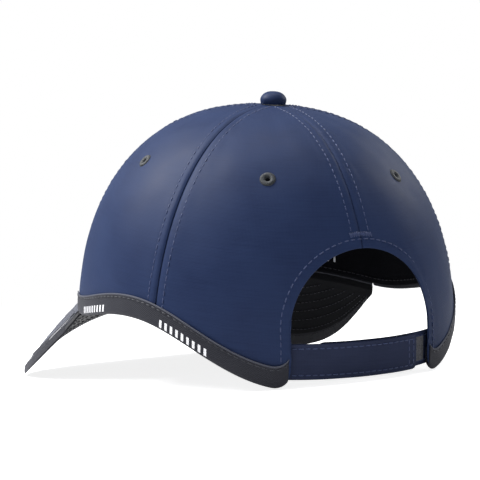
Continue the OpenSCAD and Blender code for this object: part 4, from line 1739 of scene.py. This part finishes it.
@dataclass
class Peak:
    """The curved peak: board, two covers, folded edge tape and rows of stitching."""

    shop: Workshop
    thread: Thread
    form: PeakForm = field(default_factory=PeakForm)
    cover: float = 0.45
    under_drop: float = 3.7
    tape: float = 8.5
    tape_thickness: float = 0.5
    row_offsets: tuple = (12.0, 20.0, 28.0, 36.0, 44.0, 52.0)

    def build(self) -> None:
        """Makes and dresses every piece of the peak."""
        self.covers()
        self.edge_tape()
        self.sew()
        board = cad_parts["peak_board"]
        self.shop.dress(board, BOARD_PLASTIC)

    def grid(self, count: int, rows: Array, drop: float) -> tuple:
        """Returns a grid over the whole peak.

        Args:
            count: Number of rulings.
            rows: Shares of the way from the rim to the edge.
            drop: Depth under the top.

        Returns:
            Azimuths, distances out and points in millimetres.
        """
        azimuths = self.form.rulings(count)
        out = rows[:, None] * self.form.reach(azimuths)
        azimuths = np.broadcast_to(azimuths, out.shape)
        return azimuths, out, self.form.point(azimuths, out, drop)

    def dimple(self, azimuths: Array, out: Array) -> Array:
        """Returns how far the needle rows draw the cover in."""
        inward = self.form.reach(azimuths) - out
        drawn = sum(bell(inward, offset, 1.1) for offset in self.row_offsets)
        soft = 0.12 * ripple(azimuths * 1.5, inward, 21.0, 4.0)
        return 0.16 * drawn - soft

    def turned_up(self, azimuths: Array, heights: tuple, inset: float) -> Array:
        """Returns rows of the seam allowance, turned up between the crown and the sweatband.

        Args:
            azimuths: Azimuths of the rulings.
            heights: Heights over the rim, from the top row down.
            inset: Distance inside the crown's face.

        Returns:
            Points in millimetres.
        """
        crown = self.form.crown
        rises = (crown.rim(azimuths) + np.array(heights)[:, None]) / crown.height
        return crown.point(np.broadcast_to(azimuths, rises.shape), rises, inset)

    def covers(self) -> None:
        """Makes the top and under covers, each with its seam allowance turned up inside."""
        place = self.form.crown.place
        rows = np.linspace(0, 1, 58)
        faces = (
            ("peak_top_cover", 0.0, 1, (7.0, 5.0, 3.0, 1.2, 0.4), 0.6, PEAK_CLOTH),
            ("peak_under_cover", self.under_drop, -1, (6.0, 4.0, 2.0, 0.5, -1.0, -2.4), 1.15, UNDER_CLOTH),
        )
        for name, drop, way, heights, inset, finish in faces:
            azimuths, out, _ = self.grid(97, rows, drop)
            drops = drop + way * self.dimple(azimuths, out)
            points = self.form.point(azimuths, out, drops)
            tucked = self.turned_up(azimuths[0], heights, inset)
            points = np.concatenate([tucked, points])
            maps = points[..., :2].copy()
            maps[: len(heights)] *= 1 - (np.array(heights)[:, None, None] + 4) / 90
            grid, maps = place(points), maps * MM
            if way > 0:
                grid, maps = grid[::-1], maps[::-1]
            piece = cloth_grid(name + "_cloth", grid, maps)
            thicken(piece, self.cover, Facing.INWARD)
            self.shop.hand_over(piece, finish, "peak_cloth", replaces=(name,))
            self.shop.declare(piece, grid)

    def edge_tape(self) -> None:
        """Makes the tape folded over the peak's edge, with its needle rows."""
        azimuths = self.form.rulings(161, 0.985)
        reach = self.form.reach(azimuths)
        leg = np.minimum(self.tape, 0.8 * reach)
        low = self.under_drop + 0.35
        section = np.array(
            [(-1, -0.32), (-0.96, -0.6), (-0.8, -0.62), (-0.5, -0.6), (-0.2, -0.62), (0, -0.6), (0.03, -0.45)]
            + [(0.06, 0.4), (0.075, 1.7), (0.06, 3.0), (0.03, low - 0.1), (0, low + 0.1)]
            + [(-0.2, low + 0.1), (-0.5, low + 0.08), (-0.8, low + 0.1), (-0.96, low + 0.05), (-1, low - 0.2)]
        )
        out = reach + section[:, :1] * np.where(section[:, :1] < 0, leg, self.tape)
        wrinkle = 0.06 * ripple(azimuths * 2.2, section[:, :1] * 8, 6.0, 9.0)
        points = self.form.point(np.broadcast_to(azimuths, out.shape), out, section[:, 1:] + wrinkle)
        grid = self.form.crown.place(points)[::-1]
        run = running_length(grid[9])
        width = running_length(points[:, 80])
        maps = np.stack(np.broadcast_arrays(run[None], width[::-1, None] * MM), -1)
        piece = cloth_grid("peak_edge_tape", grid, maps)
        thicken(piece, self.tape_thickness, Facing.INWARD)
        self.shop.hand_over(piece, PEAK_TAPE, "binding_tape", replaces=("peak_edge_binding",))
        self.shop.declare(piece, grid, "folded")
        lines = []
        wide = reach > 11.0
        for drop, way in ((-0.72, 1), (low + 0.2, -1)):
            at = (reach - leg + 1.3)[wide]
            line = self.form.crown.place(self.form.point(azimuths[wide], at, drop))
            out_way = np.broadcast_to(self.form.crown.turn(np.array([0.0, -0.45, 0.9])) * way, line.shape)
            lines.append((line, out_way))
        sewn = self.thread.rows("peak_edge_stitching", lines)
        self.shop.hand_over(sewn, DARK_THREAD, "binding_tape")

    def sew(self) -> None:
        """Lays the rows of stitching on both faces of the peak."""
        azimuths = self.form.rulings(241)
        reach = self.form.reach(azimuths)
        lines = []
        for offset in self.row_offsets:
            keep = reach > offset + 4.5
            if keep.sum() < 8:
                continue
            a, out = azimuths[keep], (reach - offset)[keep]
            for drop, way in ((0.12, 1), (self.under_drop + self.cover - 0.1, -1)):
                line = self.form.crown.place(self.form.point(a, out, drop))
                up = self.face(a, out) * way
                lines.append((line, up))
        sewn = self.thread.rows("peak_row_stitching", lines, 3.4)
        self.shop.hand_over(sewn, PEAK_THREAD, "peak_cloth")

    def face(self, azimuths: Array, out: Array) -> Array:
        """Returns the upward directions of the peak's top."""
        ahead = self.form.point(azimuths, out + 0.5) - self.form.point(azimuths, out - 0.5)
        across = self.form.point(azimuths + 0.3, out) - self.form.point(azimuths - 0.3, out)
        up = np.cross(across, ahead)
        up = up * np.sign(up[..., 2:])
        return self.form.crown.turn(up / np.linalg.norm(up, axis=-1, keepdims=True))


# ---------------------------------------------------------------- badge and straps


@dataclass
class Badge:
    """A blank moulded badge on the wearer's right side, with a raised border."""

    shop: Workshop
    form: CrownForm = field(default_factory=CrownForm)
    width: float = 30.0
    height: float = 21.0
    thickness: float = 1.0
    azimuth: float = -104.0
    lift: float = 0.1
    border: float = 1.1
    field_depth: float = 0.35

    def build(self) -> None:
        """Models the badge from a grid: rounded, raised, bevelled, then laid on the crown."""
        bpy.ops.object.select_all(action="DESELECT")
        bpy.ops.mesh.primitive_grid_add(x_subdivisions=36, y_subdivisions=26, size=1)
        piece = bpy.context.object
        piece.name = piece.data.name = "side_badge_moulding"
        co = coordinates(piece) * 2
        round_x = co[:, 0] * np.sqrt(1 - 0.12 * co[:, 1] ** 8)
        round_y = co[:, 1] * np.sqrt(1 - 0.22 * co[:, 0] ** 8)
        flat = np.stack([round_x * self.width / 2, round_y * self.height / 2, 0 * round_x], -1) * MM
        piece.data.vertices.foreach_set("co", flat.astype(np.float32).ravel())
        bpy.ops.object.mode_set(mode="EDIT")
        bpy.ops.mesh.select_all(action="SELECT")
        bpy.ops.mesh.extrude_region_move(TRANSFORM_OT_translate={"value": (0, 0, self.thickness * MM)})
        bpy.ops.mesh.inset(thickness=0.25 * MM, depth=0.0)
        bpy.ops.mesh.inset(thickness=self.border * MM, depth=0.0)
        bpy.ops.mesh.inset(thickness=0.3 * MM, depth=-self.field_depth * MM)
        bpy.ops.mesh.select_all(action="SELECT")
        bpy.ops.mesh.normals_make_consistent(inside=False)
        bpy.ops.object.mode_set(mode="OBJECT")
        self.lay_on_crown(piece)
        finish_modifier(piece, "BEVEL", width=0.12 * MM, segments=2, limit_method="ANGLE")
        shade(piece, 40)
        self.shop.hand_over(piece, BADGE_RUBBER, "badge_rubber", replaces=("side_badge",))

    def lay_on_crown(self, piece: bpy.types.Object) -> None:
        """Moves the flat badge's points on to the crown's side."""
        form = self.form
        co = coordinates(piece) / MM
        low = float(form.rim(self.azimuth)) + 11.5
        w = (low + self.height / 2 + co[:, 1]) / form.height
        azimuths = self.azimuth + co[:, 0] / form.degree(np.full(len(co), self.azimuth), w)
        normal = form.normal(azimuths, w)
        lift = self.lift + 0.25 + co[:, 2] * 0.85
        points = form.point(azimuths, w) + normal * lift[:, None]
        piece.data.vertices.foreach_set("co", form.place(points).astype(np.float32).ravel())
        piece.data.update()


STRAP_RADIUS = 78.0
PATCH_THICKNESS = 0.5
PATCH_LAY = 0.05
# From the middle of one strap to the middle of the other: their cloth, two patches and some play
STRAP_GAP = 1.2 + 2 * (PATCH_THICKNESS + PATCH_LAY) + 0.4


@dataclass
class Strap:
    """One strap of the closure: doubled cloth that turns at its sewn root, with its patch."""

    shop: Workshop
    thread: Thread
    side: Side
    reach: float
    radius: float
    patch_span: tuple
    patch_offset: float
    pile: Finish
    pile_slot: str
    name: str
    form: CrownForm = field(default_factory=CrownForm)
    width: float = 14.5
    thickness: float = 1.1
    lower: float = 3.5
    hinge_in: float = 4.4
    root_past: float = 7.0
    band_inset: float = 1.6
    corner: float = 2.5
    stitch_in: float = 1.9
    patch_in: float = 2.1
    tuft_pitch: float = 0.85
    bend: float = 2.4

    @property
    def hinge(self) -> float:
        """X of the hinge line, with its side's sign."""
        return self.side.value * (self.form.opening_width / 2 - self.hinge_in)

    def back_y(self, z: float) -> float:
        """Returns Y of the crown's back at a height."""
        return float(self.form.point(180.0, z / self.form.height)[1])

    def at(self, x: Array, up: Array, out: Array) -> Array:
        """Returns points of the band.

        Args:
            x: Positions across the opening in millimetres.
            up: Heights above the band's lower edge.
            out: Distances outside the band's middle.

        Returns:
            Points in metres, as the cap stands.
        """
        x, up, out = np.broadcast_arrays(np.asarray(x, float), up, out)
        middle = self.back_y(self.lower) - self.band_inset
        centre_x, centre_y = -STRAP_GAP * 1.1, middle - STRAP_RADIUS
        turn = np.arcsin(np.clip((x - centre_x) / self.radius, -1, 1))
        px = centre_x + (self.radius + out) * np.sin(turn)
        py = centre_y + (self.radius + out) * np.cos(turn)
        fall = self.back_y(self.lower) - self.back_y(self.lower + self.width)
        lean = math.atan(fall / self.width)
        dy = py - middle
        y = middle + dy * math.cos(lean) - up * math.sin(lean)
        z = self.lower + dy * math.sin(lean) + up * math.cos(lean)
        return self.form.place(np.stack([px, y, z], -1))

    def build(self) -> None:
        """Makes the strap, its stitching and its patch."""
        s = self.side.value
        tip, root = -s * self.reach, s * (self.form.opening_width / 2 + self.root_past)
        share = np.concatenate([[0, 0.008, 0.018, 0.032], np.linspace(0.05, 1, 64)])
        x = tip + (root - tip) * share
        if s > 0:
            x = x[::-1]
        dense = np.array([0, 0.35, 0.9, 1.7, 2.4, 3.4])
        up = np.concatenate([dense, np.linspace(5, self.width - 5, 5), self.width - dense[::-1]])
        inward = np.abs(x - tip)[None]
        corner = np.clip(self.corner - inward, 0, self.corner)
        trim = self.corner - np.sqrt(np.clip(self.corner**2 - corner**2, 0, None))
        heights = trim + (self.width - 2 * trim) * (up / self.width)[:, None]
        groove = -0.14 * (bell(up, self.stitch_in, 0.6) + bell(up, self.width - self.stitch_in, 0.6))[:, None]
        soft = 0.16 * ripple(x[None], up[:, None], 19.0, 3.0 + s) + groove
        grid = self.at(x[None], heights, soft)
        maps = np.stack(np.broadcast_arrays(x[None] * MM, heights * MM), -1)
        piece = cloth_grid(self.name + "_cloth", grid, maps)
        thicken(piece, self.thickness, Facing.BOTH)
        self.shop.hand_over(piece, STRAP_CLOTH, "strap_webbing", "", (self.name, self.name + "_tab"))
        self.bend_at_hinge(piece)
        self.shop.declare(piece, grid)
        self.sew(x, tip)
        self.patch()

    def bend_at_hinge(self, piece: bpy.types.Object) -> None:
        """Works out the hinge's two ends, which nothing uses, and bakes the piece's placement into its mesh.
        """
        s = self.side.value
        start = self.at(self.hinge + s * self.bend, self.width / 2, 0.0)
        end = self.at(self.hinge - s * self.bend, self.width / 2, 0.0)
        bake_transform(piece)

    def sew(self, x: Array, tip: float) -> None:
        """Lays the needle row round the strap's edge, on its outer face."""
        s = self.side.value
        run = np.sort(x)
        run = run[(run - tip) * s > 2.0]
        half = self.thickness / 2 - 0.02
        lines = []
        for up in (self.stitch_in, self.width - self.stitch_in):
            line = self.at(run, up, half)
            lines.append((line, self.outward(line, run, up)))
        rise = np.linspace(self.stitch_in, self.width - self.stitch_in, 12)
        for across in (2.0, 4.6):
            line = self.at(np.full(12, tip + s * across), rise, half)
            lines.append((line, self.outward(line, np.full(12, tip + s * across), rise)))
        sewn = self.thread.rows(self.name + "_stitching", lines, 2.8)
        self.shop.hand_over(sewn, NAVY_THREAD, "strap_webbing", "")
        self.bend_at_hinge(sewn)

    def outward(self, line: Array, x: Array, up: Array) -> Array:
        """Returns the outward directions at points of the band's face."""
        away = self.at(x, up, self.thickness / 2 + 1) - line
        return away / np.linalg.norm(away, axis=-1, keepdims=True)

    def patch(self) -> None:
        """Makes the woven base of the patch and the hooks or loops on it."""
        first, last = self.patch_span
        way = 1.0 if self.patch_offset > 0 else -1.0
        x = np.linspace(min(first, last), max(first, last), 44)[::-1]
        up = np.linspace(self.patch_in, self.width - self.patch_in, 14)
        grid = self.at(x[None], up[:, None], way * (self.thickness / 2 + 0.12))
        maps = np.stack(np.broadcast_arrays(x[None] * MM, up[:, None] * MM), -1)
        base = cloth_grid(self.pile_slot + "_base", grid, maps)
        thicken(base, 0.22, Facing.BOTH)
        node = "hook_patch" if "hook" in self.pile_slot else "loop_patch"
        over_hinge = abs(first) > abs(self.hinge)
        body = "" if over_hinge else self.name
        self.shop.hand_over(base, self.pile, self.pile_slot, body, (node,))
        if over_hinge:
            self.bend_at_hinge(base)
        self.shop.declare(base, grid)
        columns = np.arange(min(first, last) + 0.6, max(first, last) - 0.5, self.tuft_pitch)
        rows = np.arange(self.patch_in + 0.5, self.width - 2.5, self.tuft_pitch)
        gx, gu = np.meshgrid(columns, rows)
        shift = 0.25 * np.sin(12.9898 * gx + 78.233 * gu)
        gx, gu = (gx + shift).ravel(), (gu + 0.25 * np.cos(37.7 * gx + 11.3 * gu)).ravel()
        spots = self.at(gx, gu, way * (self.thickness / 2 + 0.26))
        ahead = self.at(gx + 0.5, gu, way * (self.thickness / 2 + 0.26)) - spots
        rise = self.at(gx, gu + 0.5, way * (self.thickness / 2 + 0.26)) - spots
        angle = (7.3 * gx + 3.1 * gu)[:, None]
        along = ahead * np.cos(angle) + rise * np.sin(angle)
        out = self.at(gx, gu, way * (self.thickness / 2 + 1.2)) - spots
        tuft = Thread(radius=0.09, length=0.7, sides=4)
        tuft.model()
        piece = tuft.lay(self.pile_slot + "_tufts", spots, along, out)
        self.shop.hand_over(piece, self.pile, self.pile_slot, body)
        if over_hinge:
            self.bend_at_hinge(piece)


# ---------------------------------------------------------------- studio


@dataclass
class Studio:
    """The floor, the lights and the camera."""

    pivot: tuple = (0.0, -0.0088, 0.0438)
    azimuth: float = 154.45
    elevation: float = -2.41
    roll: float = -4.18
    distance: float = 0.5232
    lens: float = 79.84
    shift: tuple = (-0.0183, -0.0172)
    lamps: tuple = (
        ("key", 62.0, 50.0, 1.3, 0.7, 33.0),
        ("top", 170.0, 86.0, 1.2, 0.8, 10.0),
        ("fill", 165.0, 15.0, 1.6, 1.4, 2.0),
        ("edge", 278.0, 30.0, 1.3, 0.5, 4.5),
    )

    def build(self) -> None:
        """Makes the whole studio."""
        self.floor()
        self.world()
        for lamp in self.lamps:
            self.light(*lamp)
        self.camera()
        bpy.context.scene.view_settings.view_transform = "Standard"

    def floor(self) -> None:
        """Makes the floor at the level that the cap stands on."""
        bpy.ops.object.select_all(action="DESELECT")
        bpy.ops.mesh.primitive_circle_add(
            vertices=96, radius=4.0, fill_type="NGON", location=(0, 0, CAD_BOX[0].z - 0.0002)
        )
        floor = bpy.context.object
        floor.name = "floor"
        paint = bpy.data.materials.new("painted_sweep_white")
        paint.use_nodes = True
        tree = paint.node_tree
        tree.nodes.clear()
        path = add_node(tree, "LightPath")
        glow = add_node(tree, "MapRange", {0: path, 3: 0.2, 4: 0.85})
        shader = add_node(
            tree,
            "BsdfPrincipled",
            {"Base Color": linear("#D0D0D0"), "Roughness": 0.9, "Emission Strength": glow},
        )
        set_inputs(shader, {"Emission Color": linear("#FFFFFF"), "Specular IOR Level": 0.0})
        add_node(tree, "OutputMaterial", {"Surface": shader})
        floor.data.materials.append(paint)

    def world(self) -> None:
        """Makes the surroundings: white where the lens sees them, softer as light."""
        world = bpy.data.worlds.new("white_studio")
        bpy.context.scene.world = world
        world.use_nodes = True
        tree = world.node_tree
        tree.nodes.clear()
        path = add_node(tree, "LightPath")
        soft = add_node(tree, "Background", {"Color": linear("#F2F5FF"), "Strength": 0.25})
        seen = add_node(tree, "Background", {"Color": (1, 1, 1, 1), "Strength": 1.0})
        mix = add_node(tree, "MixShader", {0: path, 1: soft, 2: seen})
        add_node(tree, "OutputWorld", {"Surface": mix})

    def direction(self, azimuth: float, elevation: float) -> Vector:
        """Returns the direction from the cap towards an azimuth and an elevation."""
        a, e = math.radians(azimuth), math.radians(elevation)
        return Vector((math.sin(a) * math.cos(e), -math.cos(a) * math.cos(e), math.sin(e)))

    def light(
        self, name: str, azimuth: float, elevation: float, distance: float, size: float, power: float
    ) -> None:
        """Makes one softbox that looks at the cap.

        Args:
            name: Its name.
            azimuth: Where it stands, as for the camera.
            elevation: How high it stands, in degrees.
            distance: Its distance in metres.
            size: Its side in metres.
            power: Its power in watts.
        """
        lamp = bpy.data.lights.new(name + "_softbox", "AREA")
        lamp.size = size
        lamp.energy = power
        holder = bpy.data.objects.new(name + "_softbox", lamp)
        bpy.context.scene.collection.objects.link(holder)
        away = self.direction(azimuth, elevation)
        holder.location = Vector(self.pivot) + away * distance
        holder.rotation_euler = away.to_track_quat("Z", "Y").to_euler()

    def camera(self) -> None:
        """Makes the camera."""
        data = bpy.data.cameras.new("camera")
        data.lens, data.sensor_width = self.lens, 36.0
        data.shift_x, data.shift_y = self.shift
        data.clip_start, data.clip_end = 0.01, 50.0
        camera = bpy.data.objects.new("camera", data)
        bpy.context.scene.collection.objects.link(camera)
        back = self.direction(self.azimuth, self.elevation)
        a = math.radians(self.azimuth)
        right = Vector((math.cos(a), math.sin(a), 0))
        up = back.cross(right)
        r = math.radians(self.roll)
        x = right * math.cos(r) + up * math.sin(r)
        y = up * math.cos(r) - right * math.sin(r)
        turn = Matrix((x, y, back)).transposed()
        camera.matrix_world = Matrix.Translation(Vector(self.pivot) + back * self.distance) @ turn.to_4x4()
        bpy.context.scene.camera = camera


def main() -> None:
    """Builds the cap piece by piece, then the studio."""
    logging.basicConfig(level=logging.INFO, format="%(name)s %(message)s")
    shop = Workshop()
    thread = Thread()
    thread.model()
    crown = Crown(shop, thread)
    crown.build_panels()
    crown.sew_seams()
    crown.build_linings()
    Eyelets(shop, crown).build()
    Button(shop).build()
    BackOpening(shop, thread).build()
    RimBinding(shop, thread).build()
    Sweatband(shop, thread).build()
    Peak(shop, thread).build()
    Badge(shop).build()
    Strap(
        shop,
        thread,
        Side.LEFT,
        reach=25.0,
        radius=STRAP_RADIUS,
        patch_span=(4.0, -23.0),
        patch_offset=-0.85,
        pile=HOOK_PILE,
        pile_slot="hook_pile",
        name="outer_strap",
    ).build()
    Strap(
        shop,
        thread,
        Side.RIGHT,
        reach=20.0,
        radius=STRAP_RADIUS - STRAP_GAP,
        patch_span=(-31.6, 18.0),
        patch_offset=0.85,
        pile=LOOP_PILE,
        pile_slot="loop_pile",
        name="inner_strap",
    ).build()
    Studio().build()
    LOG.info("%d pieces", len(shop.pieces))


if __name__ == "__main__":
    main()
